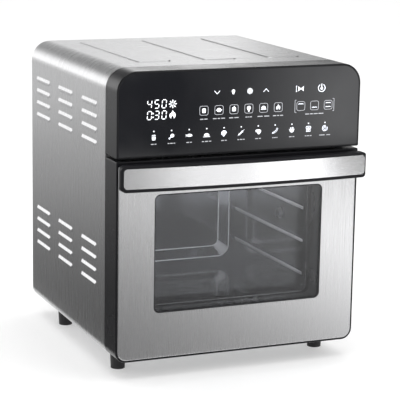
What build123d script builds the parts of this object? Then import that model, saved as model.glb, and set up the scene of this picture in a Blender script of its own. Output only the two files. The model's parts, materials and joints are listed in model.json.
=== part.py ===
"""Countertop air-fryer toaster oven: a steel shell round a cooking cavity, a black control
box across the top of the front, and a full-depth drop-down door with a bowed handle.

Millimetres. +Z is up, the front faces -Y, and the origin is on the surface that the feet
stand on, at the middle of the width and of the depth from the handle to the rear spacers.
"""

import math
import os

from build123d import *

os.makedirs("parts", exist_ok=True)

# ---------------------------------------------------------------- driving dimensions
body_width = 320.0
body_height = 353.0
body_depth = 332.0  # door face to rear edge of the housing
front_depth = 39.5  # door and control box, in front of the steel housing
foot_height = 23.0
top_radius = 25.0
bottom_radius = 14.0
handle_reach = 28.5  # door face to the middle of the handle
spacer_reach = 16.5  # rear edge to the end of the wall spacers
sheet = 0.8  # housing steel
wall = 1.0  # cavity and bracket steel
gap = 0.2  # assembly gap round an inset piece
joint_line = 1.1  # shadow gap between the front pieces and the housing
door_height = 246.6
seam = 3.0  # gap between the door and the control box

# ---------------------------------------------------------------- worked-out places
half_width = body_width / 2
front_y = -(handle_reach + body_depth + spacer_reach) / 2 + handle_reach
rear_y = front_y + body_depth
shell_y = front_y + front_depth
base_z = foot_height
top_z = base_z + body_height
door_top = base_z + door_height
box_low = door_top + seam
door_back = shell_y - joint_line

# front frame, the steel plate that the door closes against
frame_face = shell_y + gap
frame_back = frame_face + wall

# cooking cavity, inside faces
cavity_half = 122.0
cavity_floor_z = 62.0
cavity_top_z = 255.0
cavity_back = 116.0
cavity_front = frame_back
rail_heights = (97.0, 140.0, 183.0)
rail_radius = 4.0

# door window and its two panes
window_half = 111.5
window_low = 81.5
window_high = 228.0
window_radius = 7.5
lip_half = 105.5
lip_low = 84.3
lip_high = 225.2
rim = 2.3  # black edge left showing round the steel skin and the touch panel
skin_depth = 3.0
skin_top = 264.0
outer_pane = 3.2
inner_pane = 3.2
rim_setback = 0.6  # the plastic rim sits this far behind the skin's face

# door hinge, along X
hinge_radius = 11.0
hinge_y = door_back - hinge_radius
hinge_z = base_z + hinge_radius
hinge_x = 140.0
pin_radius = 3.0
running_fit = 0.05
lug_half = 1.0
lug_clear = 0.7

# vertical fan axis, over the middle of the cavity
fan_x, fan_y = 0.0, 0.0
shaft_radius = 4.0
dome_radius = 84.0
dome_height = 36.0

# handle
handle_half = 161.6
handle_end_y = front_y - 20.5
handle_mid_y = front_y - handle_reach
handle_low = base_z + 213.6
handle_high = base_z + 245.2
plate_half = 158.4
plate_low = base_z + 217.7
plate_high = base_z + 241.8
plate_thick = 1.4
plate_proud = 0.6
bar_thick = 11.0
post_outer = 152.0
post_inner = 136.0

# fasteners and edges used all over
small_head = (3.2, 2.0)  # radius and height
small_shank = (1.5, 6.0)  # radius and length
small_hole = 1.6
bolt_radius = 2.0
bolt_hole = 2.1
edge_round = 1.2
flat_corner = 2.0
through = 1.0  # how far a cut runs past the faces it goes through


# ---------------------------------------------------------------- helpers
def xz(y):
    """Plane at depth y whose sketch axes are X and Z; a positive extrusion goes forward."""
    return Plane(origin=(0, y, 0), x_dir=(1, 0, 0), z_dir=(0, -1, 0))


def section(inset, low, high, low_round, high_round, half=half_width):
    """Rounded X-Z outline from height low to high, set in at the sides."""
    with BuildSketch(mode=Mode.PRIVATE) as outline:
        with Locations((0, (low + high) / 2)):
            Rectangle(2 * (half - inset), high - low)
        if low_round:
            fillet(outline.vertices().group_by(Axis.Y)[0], low_round)
        if high_round:
            fillet(outline.vertices().group_by(Axis.Y)[-1], high_round)
    return outline.sketch_local


def pane_outline(half, low, high, radius):
    """Rounded X-Z rectangle, centred in X."""
    return section(0, low, high, radius, radius, half)


def block(x, y, z, mode=Mode.ADD):
    """Box that fills three (low, high) ranges."""
    with Locations(((x[0] + x[1]) / 2, (y[0] + y[1]) / 2, (z[0] + z[1]) / 2)):
        Box(x[1] - x[0], y[1] - y[0], z[1] - z[0], mode=mode)


def rod(axis, at, span, radius, mode=Mode.ADD):
    """Cylinder along an axis over the (low, high) span; at gives its other two coordinates."""
    middle, length = (span[0] + span[1]) / 2, span[1] - span[0]
    if axis == "X":
        centre, turn = (middle, *at), (0, 90, 0)
    elif axis == "Y":
        centre, turn = (at[0], middle, at[1]), (90, 0, 0)
    else:
        centre, turn = (*at, middle), (0, 0, 0)
    with Locations(centre):
        Cylinder(radius, length, rotation=turn, mode=mode)


def screw(axis, at, seat, direction, head, shank):
    """Pan-head screw: head = (radius, height) stands out from seat, shank goes the other way."""
    head_radius, head_height = head
    shank_radius, shank_length = shank
    tip = seat + direction * head_height
    rod(axis, at, sorted((seat, tip)), head_radius)
    rod(axis, at, sorted((seat, seat - direction * shank_length)), shank_radius)


# ---------------------------------------------------------------- outer housing
louver_length = 56.0
louver_height = 6.0
louver_rise = 1.6
louver_columns = [front_y + y for y in (98.0, 190.0, 281.5)]
louver_groups = [base_z + z for z in (282.0, 107.0)]
louver_pitch = 16.0
louver_rows = 4
pad_width = 44.0
pad_pitch = 87.5
pad_shift = 6.0
pad_front = front_y + 80.0
pad_rear = front_y + 303.0
pad_rise = 0.8
pad_round = 5.0
pad_slope = 35
louver_sill = 1.0  # the slot starts this far below the hood
louver_mouth = 3.6
louver_slot = louver_length * 0.84
flange = 10.0
turn_under = 40.0
side_screw_z = (base_z + 40.0, base_z + 175.0, base_z + 300.0)
top_screw_x = (-70.0, 70.0)
side_screw_x = half_width - flange / 2 - sheet
top_screw_z = top_z - flange / 2 - sheet
cover_screws = [(s * side_screw_x, z) for s in (-1, 1) for z in side_screw_z]
cover_screws += [(x, top_screw_z) for x in top_screw_x]
foot_x = 136.0
foot_front = front_y + 57.0
foot_rear = front_y + 262.0
feet_at = [(s * foot_x, y) for s in (-1, 1) for y in (foot_front, foot_rear)]
base_screw_x = 128.0
base_screw_y = (front_y + 110.0, front_y + 160.0, front_y + 210.0)
base_screws_at = [(s * base_screw_x, y) for s in (-1, 1) for y in base_screw_y]


def louver_heights():
    for group in louver_groups:
        for row in range(louver_rows):
            yield group + (row - (louver_rows - 1) / 2) * louver_pitch


with BuildPart() as hood:
    # raised louver for a wall whose outer face is the X-Y plane, open along its -Y edge
    with BuildSketch() as hood_foot:
        Rectangle(louver_length, louver_height)
        fillet(hood_foot.vertices().group_by(Axis.Y)[-1], louver_height * 0.45)
    with BuildSketch(Plane.XY.offset(louver_rise)) as hood_crest:
        with Locations((0, -louver_height * 0.3)):
            Rectangle(louver_length * 0.9, louver_height * 0.4)
        fillet(hood_crest.vertices().group_by(Axis.Y)[-1], louver_height * 0.18)
    loft()

with BuildPart() as outer_housing:
    with BuildSketch(xz(rear_y)):
        add(section(0, base_z, top_z, bottom_radius, top_radius))
    extrude(amount=rear_y - shell_y)
    with BuildSketch(xz(rear_y - sheet)):
        add(section(sheet, base_z + sheet, top_z - sheet, bottom_radius - sheet, top_radius - sheet))
    extrude(amount=rear_y - shell_y, mode=Mode.SUBTRACT)
    # the rear flange is left as a ring, and the bottom is open between the turned-under strips
    with BuildSketch(xz(rear_y)):
        add(section(flange, base_z + flange, top_z - flange, bottom_radius, top_radius - flange))
    extrude(amount=sheet, mode=Mode.SUBTRACT)
    block((-half_width + turn_under, half_width - turn_under), (shell_y, rear_y),
          (base_z - sheet, base_z + flange), Mode.SUBTRACT)
    for side in (-1, 1):
        for y in louver_columns:
            for z in louver_heights():
                wall_plane = Plane(origin=(side * half_width, y, z), x_dir=(0, side, 0),
                                   z_dir=(side, 0, 0))
                with Locations(wall_plane.location):
                    add(hood.part)
    for side in (-1, 1):
        for y in louver_columns:
            for z in louver_heights():
                reach = sorted((side * (half_width - 2 * sheet), side * (half_width + sheet)))
                slot_low = z - louver_height / 2 - louver_sill
                block(reach, (y - louver_slot / 2, y + louver_slot / 2),
                      (slot_low, slot_low + louver_mouth), Mode.SUBTRACT)
    with BuildSketch(Plane.XY.offset(top_z)):
        with Locations((pad_shift, (pad_front + pad_rear) / 2)):
            with GridLocations(pad_pitch, 1, 3, 1):
                RectangleRounded(pad_width, pad_rear - pad_front, pad_round)
    extrude(amount=pad_rise, taper=pad_slope)
    with BuildSketch(Plane.XY.offset(top_z - sheet)):
        with Locations((pad_shift, (pad_front + pad_rear) / 2)):
            with GridLocations(pad_pitch, 1, 3, 1):
                RectangleRounded(pad_width - 2 * sheet, pad_rear - pad_front - 2 * sheet,
                                 pad_round - sheet)
    extrude(amount=pad_rise, taper=pad_slope, mode=Mode.SUBTRACT)
    for at in cover_screws:
        rod("Y", at, (rear_y - 2 * sheet, rear_y + sheet), small_hole, Mode.SUBTRACT)
    for at in feet_at:
        rod("Z", at, (base_z - sheet, base_z + 2 * sheet), bolt_hole, Mode.SUBTRACT)
    for at in base_screws_at:
        rod("Z", at, (base_z - sheet, base_z + 2 * sheet), small_hole, Mode.SUBTRACT)
outer_housing.part.label = "outer_housing"
export_step(outer_housing.part, "parts/outer_housing.step")

# ---------------------------------------------------------------- base and rear
plate_low_z = base_z + sheet
base_half = 144.0
plate_top_z = plate_low_z + wall
base_rear = rear_y - sheet - gap - wall
base_vent = (60.0, 5.0)
base_vent_pitch = (14.0, 120.0)
base_vent_count = (9, 2)

with BuildPart() as base_plate:
    block((-base_half, base_half), (frame_back, base_rear), (plate_low_z, plate_top_z))
    for at in feet_at:
        rod("Z", at, (base_z, plate_top_z + through), bolt_hole, Mode.SUBTRACT)
    for at in base_screws_at:
        rod("Z", at, (base_z, plate_top_z + through), small_hole, Mode.SUBTRACT)
    with BuildSketch(Plane.XY.offset(plate_low_z)):
        with Locations((0, (frame_back + base_rear) / 2)):
            with GridLocations(*base_vent_pitch, *base_vent_count):
                SlotOverall(*base_vent, rotation=90)
    extrude(amount=wall, mode=Mode.SUBTRACT)
base_plate.part.label = "base_plate"
export_step(base_plate.part, "parts/base_plate.step")

cover_inset = sheet + gap
cover_rear = rear_y - sheet
gland_at = (-105.0, base_z + 45.0)
gland_radius = 9.0
spacers_at = [(s * 95.0, base_z + 285.0) for s in (-1, 1)]
rear_vents_z = (base_z + 315.0, base_z + 60.0)
rear_vent = (26.0, 4.0)
rear_vent_pitch = (34.0, 9.0)
rear_vent_count = (4, 4)
cover_cut = (cover_rear - wall - through, cover_rear + through)

with BuildPart() as rear_cover:
    with BuildSketch(xz(cover_rear)):
        add(section(cover_inset, base_z + cover_inset, top_z - cover_inset,
                    bottom_radius - cover_inset, top_radius - cover_inset))
    extrude(amount=wall)
    with BuildSketch(xz(cover_rear)):
        for z in rear_vents_z:
            with Locations((0, z)):
                with GridLocations(*rear_vent_pitch, *rear_vent_count):
                    SlotOverall(*rear_vent)
    extrude(amount=wall, mode=Mode.SUBTRACT)
    rod("Y", gland_at, cover_cut, gland_radius, Mode.SUBTRACT)
    for at in cover_screws:
        rod("Y", at, cover_cut, small_shank[0], Mode.SUBTRACT)
    for at in spacers_at:
        rod("Y", at, cover_cut, bolt_radius, Mode.SUBTRACT)
rear_cover.part.label = "rear_cover"
export_step(rear_cover.part, "parts/rear_cover.step")

spacer_flange = (14.0, 3.0)  # radius and thickness
spacer_radius = 10.0
spacer_taper = 6

with BuildPart() as rear_spacers:
    for at in spacers_at:
        flange_radius, flange_thick = spacer_flange
        rod("Y", at, (cover_rear, cover_rear + flange_thick), flange_radius)
        with BuildSketch(xz(cover_rear + flange_thick)):
            with Locations(at):
                Circle(spacer_radius)
        extrude(amount=-(spacer_reach + sheet - flange_thick), taper=spacer_taper)
        rod("Y", at, (cover_rear - wall, cover_rear), bolt_radius)
rear_spacers.part.label = "rear_spacers"
export_step(rear_spacers.part, "parts/rear_spacers.step")

with BuildPart() as rear_screws:
    for at in cover_screws:
        screw("Y", at, rear_y, 1, small_head, small_shank)
rear_screws.part.label = "rear_screws"
export_step(rear_screws.part, "parts/rear_screws.step")

gland_lip = (gland_radius + 2.5, 3.0)  # radius and thickness of each flange
gland_nose = (gland_radius - 2.0, 14.0)  # radius and reach behind the cover
cord_bore = 3.5

with BuildPart() as cord_gland:
    lip_radius, lip_thick = gland_lip
    nose_radius, nose_reach = gland_nose
    rod("Y", gland_at, (cover_rear - wall, cover_rear), gland_radius)
    rod("Y", gland_at, (cover_rear - wall - lip_thick, cover_rear - wall), lip_radius)
    rod("Y", gland_at, (cover_rear, cover_rear + lip_thick), lip_radius)
    rod("Y", gland_at, (cover_rear + lip_thick, cover_rear + nose_reach), nose_radius)
    rod("Y", gland_at, (cover_rear - wall - lip_thick - through, cover_rear + nose_reach + through),
        cord_bore, Mode.SUBTRACT)
cord_gland.part.label = "cord_gland"
export_step(cord_gland.part, "parts/cord_gland.step")

foot_radius = 10.0
foot_taper = 3
foot_recess = (5.0, 8.0)  # radius and depth
foot_head = (4.0, 3.0)  # radius and height of the screw in the recess
foot_screw_past = 7.0  # length of its thread above the base plate

with BuildPart() as feet:
    for at in feet_at:
        with BuildSketch(Plane.XY.offset(foot_height)):
            with Locations(at):
                Circle(foot_radius)
        extrude(amount=-foot_height, taper=foot_taper)
        rod("Z", at, (0, foot_height), bolt_hole, Mode.SUBTRACT)
        rod("Z", at, (0, foot_recess[1]), foot_recess[0], Mode.SUBTRACT)
feet.part.label = "feet"
export_step(feet.part, "parts/feet.step")

with BuildPart() as foot_screws:
    for at in feet_at:
        rod("Z", at, (foot_recess[1] - foot_head[1], foot_recess[1]), foot_head[0])
        rod("Z", at, (foot_recess[1], plate_low_z + foot_screw_past), bolt_radius)
foot_screws.part.label = "foot_screws"
export_step(foot_screws.part, "parts/foot_screws.step")

with BuildPart() as base_screws:
    for at in base_screws_at:
        screw("Z", at, base_z, -1, small_head, small_shank)
base_screws.part.label = "base_screws"
export_step(base_screws.part, "parts/base_screws.step")

# ---------------------------------------------------------------- front frame and hinges
switch_at = (145.0, 246.0)
plunger_radius = 2.0
plunger_fit = 0.4
lug_radius = 5.0
wire_way = (60.0, 40.0)
wire_way_at = (-60.0, 320.0)
cavity_corner = 8.0

with BuildPart() as front_frame:
    with BuildSketch(xz(frame_back)):
        add(section(cover_inset, base_z + cover_inset, top_z - cover_inset,
                    bottom_radius - cover_inset, top_radius - cover_inset))
    extrude(amount=wall)
    with BuildSketch(xz(frame_back)):
        add(pane_outline(cavity_half, cavity_floor_z, cavity_top_z, cavity_corner))
        with Locations(wire_way_at):
            Rectangle(*wire_way)
        with Locations(switch_at):
            Circle(plunger_radius + plunger_fit)
        for side in (-1, 1):
            with Locations((side * hinge_x, hinge_z)):
                Rectangle(2 * (lug_half + gap), 2 * (lug_radius + gap))
    extrude(amount=wall, mode=Mode.SUBTRACT)
front_frame.part.label = "front_frame"
export_step(front_frame.part, "parts/front_frame.step")

bracket_half = 9.0
bracket_below = 6.0
bracket_above = 14.0
pin_half = 9.0

with BuildPart() as hinge_brackets:
    for side in (-1, 1):
        x = side * hinge_x
        with BuildSketch(Plane.YZ.offset(x - lug_half)):
            with Locations((hinge_y, hinge_z)):
                Circle(lug_radius)
            with Locations(((hinge_y + frame_back) / 2, hinge_z)):
                Rectangle(frame_back - hinge_y, 2 * lug_radius)
        extrude(amount=2 * lug_half)
        block((x - bracket_half, x + bracket_half), (frame_back, frame_back + wall),
              (hinge_z - bracket_below, hinge_z + bracket_above))
        rod("X", (hinge_y, hinge_z), (x - lug_half - through, x + lug_half + through),
            pin_radius + running_fit, Mode.SUBTRACT)
hinge_brackets.part.label = "hinge_brackets"
export_step(hinge_brackets.part, "parts/hinge_brackets.step")

# ---------------------------------------------------------------- control box
panel_depth = 3.0
panel_low = box_low + rim
panel_high = top_z - rim
shelf = 4.0
bezel_wall = 3.0

with BuildPart() as control_bezel:
    with BuildSketch(xz(door_back)):
        add(section(0, box_low, top_z, flat_corner, top_radius))
    extrude(amount=door_back - front_y)
    fillet(control_bezel.faces().sort_by(Axis.Y)[0].edges(), edge_round)
    # locating lip inside the housing
    with BuildSketch(xz(frame_face)):
        add(section(cover_inset, box_low + cover_inset, top_z - cover_inset, flat_corner,
                    top_radius - cover_inset))
    extrude(amount=frame_face - door_back)
    with BuildSketch(xz(front_y)):
        add(section(rim, panel_low, panel_high, flat_corner, top_radius - rim))
    extrude(amount=-panel_depth, mode=Mode.SUBTRACT)
    with BuildSketch(xz(frame_face)):
        add(section(bezel_wall, box_low + bezel_wall, top_z - bezel_wall, flat_corner,
                    top_radius - bezel_wall))
    extrude(amount=frame_face - front_y - panel_depth - bezel_wall, mode=Mode.SUBTRACT)
    with BuildSketch(xz(front_y + panel_depth + bezel_wall)):
        add(section(rim + shelf, panel_low + shelf, panel_high - shelf, flat_corner,
                    top_radius - rim - shelf))
    extrude(amount=bezel_wall, mode=Mode.SUBTRACT)
control_bezel.part.label = "control_bezel"
export_step(control_bezel.part, "parts/control_bezel.step")

with BuildPart() as touch_panel:
    with BuildSketch(xz(front_y + panel_depth)):
        add(section(rim + gap, panel_low + gap, panel_high - gap, flat_corner,
                    top_radius - rim - gap))
    extrude(amount=panel_depth - gap)
touch_panel.part.label = "touch_panel"
export_step(touch_panel.part, "parts/touch_panel.step")

display_at = (-107.0, base_z + 307.0)
display_size = (60.0, 34.0)
display_clear = 0.5
board_front = front_y + panel_depth + 9.0
board_thick = 1.6
board_half = 144.0
board_margin = 10.0
chip_at = (30.0, base_z + 300.0)
chip_size = (14.0, 3.0)  # side and height
board_pegs_x = (-140.0, 140.0)
board_pegs_z = (panel_low + 14.0, panel_high - 30.0)
peg_radius = 3.0

with BuildPart() as display_module:
    x, z = display_at
    block((x - display_size[0] / 2, x + display_size[0] / 2),
          (front_y + panel_depth + display_clear, board_front),
          (z - display_size[1] / 2, z + display_size[1] / 2))
display_module.part.label = "display_module"
export_step(display_module.part, "parts/display_module.step")

with BuildPart() as display_board:
    board_rear = board_front + board_thick
    chip_side, chip_high = chip_size
    block((-board_half, board_half), (board_front, board_rear),
          (panel_low + board_margin, panel_high - board_margin))
    block((chip_at[0] - chip_side / 2, chip_at[0] + chip_side / 2),
          (board_rear, board_rear + chip_high),
          (chip_at[1] - chip_side / 2, chip_at[1] + chip_side / 2))
    for x in board_pegs_x:
        for z in board_pegs_z:
            rod("Y", (x, z), (front_y + panel_depth + bezel_wall, board_front), peg_radius)
display_board.part.label = "display_board"
export_step(display_board.part, "parts/display_board.step")

# ---------------------------------------------------------------- cavity
socket_at = (-18.0, 161.0)
socket_hole = 8.0
lamp_at = (55.0, 214.0)
lamp_radius = 17.0
probe_at = (98.0, 238.0)
probe_reach = 12.0
probe_radius = 2.5
drive_out = cavity_half + wall
lamp_wall = -cavity_half - wall


def rib_profile(side):
    """Side wall outline in X and Z with its rack rails, pressed towards the inside."""
    with BuildSketch(mode=Mode.PRIVATE) as profile:
        with Locations((side * (cavity_half + wall / 2), (cavity_floor_z + cavity_top_z) / 2)):
            Rectangle(wall, cavity_top_z - cavity_floor_z)
        for z in rail_heights:
            with Locations((side * (cavity_half + wall), z)):
                Circle(rail_radius + wall)
        for z in rail_heights:
            with Locations((side * (cavity_half + wall), z)):
                Circle(rail_radius, mode=Mode.SUBTRACT)
        outside = side * (cavity_half + wall + 2 * rail_radius)
        with Locations((outside, (cavity_floor_z + cavity_top_z) / 2)):
            Rectangle(4 * rail_radius, cavity_top_z, mode=Mode.SUBTRACT)
    return profile.sketch_local


with BuildPart() as cavity_right_wall:
    with BuildSketch(xz(cavity_back)):
        add(rib_profile(1))
    extrude(amount=cavity_back - cavity_front)
    rod("X", socket_at, (cavity_half - through, drive_out + through), socket_hole, Mode.SUBTRACT)
    rod("X", probe_at, (cavity_half - through, drive_out + through), probe_radius, Mode.SUBTRACT)
cavity_right_wall.part.label = "cavity_right_wall"
export_step(cavity_right_wall.part, "parts/cavity_right_wall.step")

with BuildPart() as cavity_left_wall:
    with BuildSketch(xz(cavity_back)):
        add(rib_profile(-1))
    extrude(amount=cavity_back - cavity_front)
    rod("X", lamp_at, (lamp_wall - through, -cavity_half + through), lamp_radius, Mode.SUBTRACT)
cavity_left_wall.part.label = "cavity_left_wall"
export_step(cavity_left_wall.part, "parts/cavity_left_wall.step")

emboss_half = 108.5
emboss_low = 73.0
emboss_high = 245.0
emboss_slope = 14.0
emboss_depth = 6.0
emboss_round = 4.0
emboss_corner = 16.0
emboss_floor_corner = 10.0


def emboss(grow, shift):
    """Pressed panel of the back wall: a low frustum behind the wall's front face."""
    with BuildPart(mode=Mode.PRIVATE) as pressing:
        with BuildSketch(xz(cavity_back + shift)):
            add(pane_outline(emboss_half + grow, emboss_low - grow, emboss_high + grow,
                             emboss_corner + grow))
        with BuildSketch(xz(cavity_back + shift + emboss_depth)):
            inner = emboss_half - emboss_slope + grow
            add(pane_outline(inner, emboss_low + emboss_slope - grow,
                             emboss_high - emboss_slope + grow, emboss_floor_corner + grow))
        loft()
    return pressing.part


with BuildPart() as cavity_back_wall:
    block((-cavity_half - wall, cavity_half + wall), (cavity_back, cavity_back + wall),
          (cavity_floor_z - wall, cavity_top_z + wall))
    add(emboss(wall * 0.4, wall))
    add(emboss(0, 0), mode=Mode.SUBTRACT)
    front_edges = cavity_back_wall.faces().sort_by(Axis.Y)[0].inner_wires().edges()
    floor_edges = cavity_back_wall.faces().filter_by(Axis.Y).filter_by_position(
        Axis.Y, cavity_back + emboss_depth - gap, cavity_back + emboss_depth + gap).edges()
    fillet(front_edges + floor_edges, emboss_round)
cavity_back_wall.part.label = "cavity_back_wall"
export_step(cavity_back_wall.part, "parts/cavity_back_wall.step")

heater_ends = [(s * 12.0, 69.0) for s in (-1, 1)]
shaft_way = 8.0
heater_way = 3.5

with BuildPart() as cavity_top:
    block((-cavity_half - wall, cavity_half + wall), (cavity_front, cavity_back),
          (cavity_top_z, cavity_top_z + wall))
    rod("Z", (fan_x, fan_y), (cavity_top_z + wall, cavity_top_z + dome_height), dome_radius + wall)
    rod("Z", (fan_x, fan_y), (cavity_top_z, cavity_top_z + dome_height - wall), dome_radius,
        Mode.SUBTRACT)
    rod("Z", (fan_x, fan_y), (cavity_top_z, cavity_top_z + dome_height), shaft_way, Mode.SUBTRACT)
    for at in heater_ends:
        rod("Z", at, (cavity_top_z, cavity_top_z + dome_height), heater_way, Mode.SUBTRACT)
cavity_top.part.label = "cavity_top"
export_step(cavity_top.part, "parts/cavity_top.step")

with BuildPart() as cavity_floor:
    block((-cavity_half - wall, cavity_half + wall), (cavity_front, cavity_back),
          (cavity_floor_z - wall, cavity_floor_z))
cavity_floor.part.label = "cavity_floor"
export_step(cavity_floor.part, "parts/cavity_floor.step")

support_x = 100.0
support_width = 20.0
front_clear = 4.0  # parts under the floor start this far behind the front frame

with BuildPart() as cavity_supports:
    for side in (-1, 1):
        x0, x1 = side * support_x - support_width / 2, side * support_x + support_width / 2
        low, high = plate_top_z, cavity_floor_z - wall
        block((x0, x1), (frame_back + front_clear, cavity_back), (low, high))
        block((x0 + wall, x1 + wall), (frame_back + front_clear, cavity_back),
              (low + wall, high - wall), Mode.SUBTRACT)
cavity_supports.part.label = "cavity_supports"
export_step(cavity_supports.part, "parts/cavity_supports.step")

wool = 8.0
wool_front, wool_rear, wool_margin, wool_side = 6.0, 4.0, 4.0, 6.0
drive_clear, lamp_clear, probe_clear = 30.0, lamp_radius + 7.0, 9.0

with BuildPart() as insulation:
    for side in (-1, 1):
        inside = cavity_half + wall + gap
        block(sorted((side * inside, side * (inside + wool))),
              (cavity_front + wool_front, cavity_back - wool_rear),
              (cavity_floor_z + wool_margin, cavity_top_z - wool_margin))
    past_wool = inside + wool + through
    rod("X", socket_at, (cavity_half, past_wool), drive_clear, Mode.SUBTRACT)
    rod("X", lamp_at, (-past_wool, -cavity_half), lamp_clear, Mode.SUBTRACT)
    rod("X", probe_at, (cavity_half, past_wool), probe_clear, Mode.SUBTRACT)
    back_wool = cavity_back + wall + emboss_depth
    block((-cavity_half + wool_side, cavity_half - wool_side), (back_wool, back_wool + wool),
          (cavity_floor_z + wool_margin, cavity_top_z - wool_margin))
insulation.part.label = "insulation"
export_step(insulation.part, "parts/insulation.step")

# ---------------------------------------------------------------- heaters
tube = 3.3
coil_radius = 70.0
coil_z = cavity_top_z + 7.0
coil_gap = math.degrees(math.atan2(heater_ends[1][0], heater_ends[1][1]))
cold_end_z = cavity_top_z + dome_height + 10.0
tab_radius, tab_length = 1.5, 8.0

with BuildPart() as coil:
    with BuildSketch(Plane.XZ):
        with Locations((coil_radius, coil_z)):
            Circle(tube)
    revolve(axis=Axis.Z, revolution_arc=360 - 2 * coil_gap)

with BuildPart() as top_heater:
    add(coil.part.rotate(Axis.Z, 90 + coil_gap))
    for at in heater_ends:
        rod("Z", at, (coil_z, cold_end_z), tube)
        rod("Z", at, (cold_end_z, cold_end_z + tab_length), tab_radius)
        with Locations((*at, coil_z)):
            Sphere(tube)
top_heater.part.label = "top_heater"
export_step(top_heater.part, "parts/top_heater.step")

under_z = cavity_floor_z - wall - 8.0
leg_x, loop_x = 70.0, 25.0
bend_front, bend_rear, leg_rear = -90.0, 60.0, cavity_back - 8.0
bend_radius = 20.0

with BuildPart() as bottom_heater:
    with BuildLine() as bottom_route:
        FilletPolyline((-leg_x, leg_rear, under_z), (-leg_x, bend_front, under_z),
                       (-loop_x, bend_front, under_z), (-loop_x, bend_rear, under_z),
                       (loop_x, bend_rear, under_z), (loop_x, bend_front, under_z),
                       (leg_x, bend_front, under_z), (leg_x, leg_rear, under_z),
                       radius=bend_radius)
    with BuildSketch(Plane(origin=bottom_route.line @ 0, z_dir=bottom_route.line % 0)):
        Circle(tube)
    sweep()
bottom_heater.part.label = "bottom_heater"
export_step(bottom_heater.part, "parts/bottom_heater.step")

clip_rows = (-40.0, 60.0)
clip_half_x, clip_half_y = 4.0, 5.0

with BuildPart() as heater_clips:
    for x in (-leg_x, leg_x):
        for y in clip_rows:
            hang = cavity_floor_z - wall
            block((x - clip_half_x, x + clip_half_x), (y - clip_half_y, y + clip_half_y),
                  (under_z - tube - wall, hang))
            block((x - clip_half_x - through, x + clip_half_x + through),
                  (y - clip_half_y + wall, y + clip_half_y - wall),
                  (under_z - tube, hang - wall), Mode.SUBTRACT)
            rod("Y", (x, under_z), (y - clip_half_y - through, y + clip_half_y + through), tube,
                Mode.SUBTRACT)
heater_clips.part.label = "heater_clips"
export_step(heater_clips.part, "parts/heater_clips.step")

shield_z = plate_top_z + 8.0
shield_half = 88.0

with BuildPart() as heat_shield:
    shield_depth = (cavity_front + front_clear, cavity_back)
    block((-shield_half, shield_half), shield_depth, (shield_z, shield_z + wall))
    for side in (-1, 1):
        block(sorted((side * shield_half, side * (shield_half - wall))), shield_depth,
              (plate_top_z, shield_z))
heat_shield.part.label = "heat_shield"
export_step(heat_shield.part, "parts/heat_shield.step")

# ---------------------------------------------------------------- fan group, on the Z axis
guard_face = cavity_top_z - 5.0
guard_radius = dome_radius + 4.0
guard_slot = (44.0, 6.0)
guard_slots = 16
guard_slot_at = 50.0

with BuildPart() as fan_guard:
    rod("Z", (fan_x, fan_y), (guard_face, cavity_top_z), guard_radius)
    rod("Z", (fan_x, fan_y), (guard_face + wall, cavity_top_z), guard_radius - wall, Mode.SUBTRACT)
    with BuildSketch(Plane.XY.offset(guard_face)):
        with PolarLocations(0, guard_slots):
            with Locations((guard_slot_at, 0)):
                SlotOverall(*guard_slot)
    extrude(amount=wall, mode=Mode.SUBTRACT)
fan_guard.part.label = "fan_guard"
export_step(fan_guard.part, "parts/fan_guard.step")

fan_low = cavity_top_z + 11.0
fan_disc_z = cavity_top_z + 28.0
fan_radius = 62.0
fan_sheet = 1.2
fan_hub = (9.0, fan_low + 6.0, fan_disc_z + 3.0)  # radius, low and high
fan_blades = 12
blade_length, blade_at, blade_sweep = 34.0, 44.0, 18.0

with BuildPart() as convection_fan:
    hub_radius, hub_low, hub_high = fan_hub
    rod("Z", (fan_x, fan_y), (fan_disc_z, fan_disc_z + fan_sheet), fan_radius)
    rod("Z", (fan_x, fan_y), (hub_low, hub_high), hub_radius)
    with PolarLocations(0, fan_blades):
        with Locations((blade_at, 0, (fan_low + fan_disc_z) / 2)):
            Box(blade_length, fan_sheet, fan_disc_z - fan_low, rotation=(0, 0, blade_sweep))
    rod("Z", (fan_x, fan_y), (fan_low, hub_high + through), shaft_radius, Mode.SUBTRACT)
convection_fan.part.label = "convection_fan"
export_step(convection_fan.part, "parts/convection_fan.step")

motor_low = cavity_top_z + dome_height + 14.0
motor_high = motor_low + 30.0
shaft_low = cavity_top_z + 9.0
shaft_high = motor_high + 20.0

with BuildPart() as fan_shaft:
    rod("Z", (fan_x, fan_y), (shaft_low, shaft_high), shaft_radius)
fan_shaft.part.label = "fan_shaft"
export_step(fan_shaft.part, "parts/fan_shaft.step")

nut_radius = 7.0
nut_height = 5.0

with BuildPart() as fan_nut:
    with BuildSketch(Plane.XY.offset(hub_low - nut_height)):
        RegularPolygon(nut_radius, 6)
        Circle(shaft_radius, mode=Mode.SUBTRACT)
    extrude(amount=nut_height)
fan_nut.part.label = "fan_nut"
export_step(fan_nut.part, "parts/fan_nut.step")

motor_can = (33.0, 4.0)  # radius, and inset from each end
motor_core = (38.0, 22.0, 8.0)  # half width, half depth, and inset from each end
motor_bearing = 14.0

with BuildPart() as fan_motor:
    can_radius, can_inset = motor_can
    core_x, core_y, core_inset = motor_core
    rod("Z", (fan_x, fan_y), (motor_low + can_inset, motor_high - can_inset), can_radius)
    block((-core_x, core_x), (-core_y, core_y), (motor_low + core_inset, motor_high - core_inset))
    rod("Z", (fan_x, fan_y), (motor_low, motor_high), motor_bearing)
    rod("Z", (fan_x, fan_y), (motor_low - through, motor_high + through),
        shaft_radius + running_fit, Mode.SUBTRACT)
fan_motor.part.label = "fan_motor"
export_step(fan_motor.part, "parts/fan_motor.step")

bridge_half = 96.0
bridge_width = (-20.0, 20.0)
bridge_thick = 1.5
bridge_foot = 14.0
roof_z = cavity_top_z + wall  # top face of the cavity's ceiling

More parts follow.
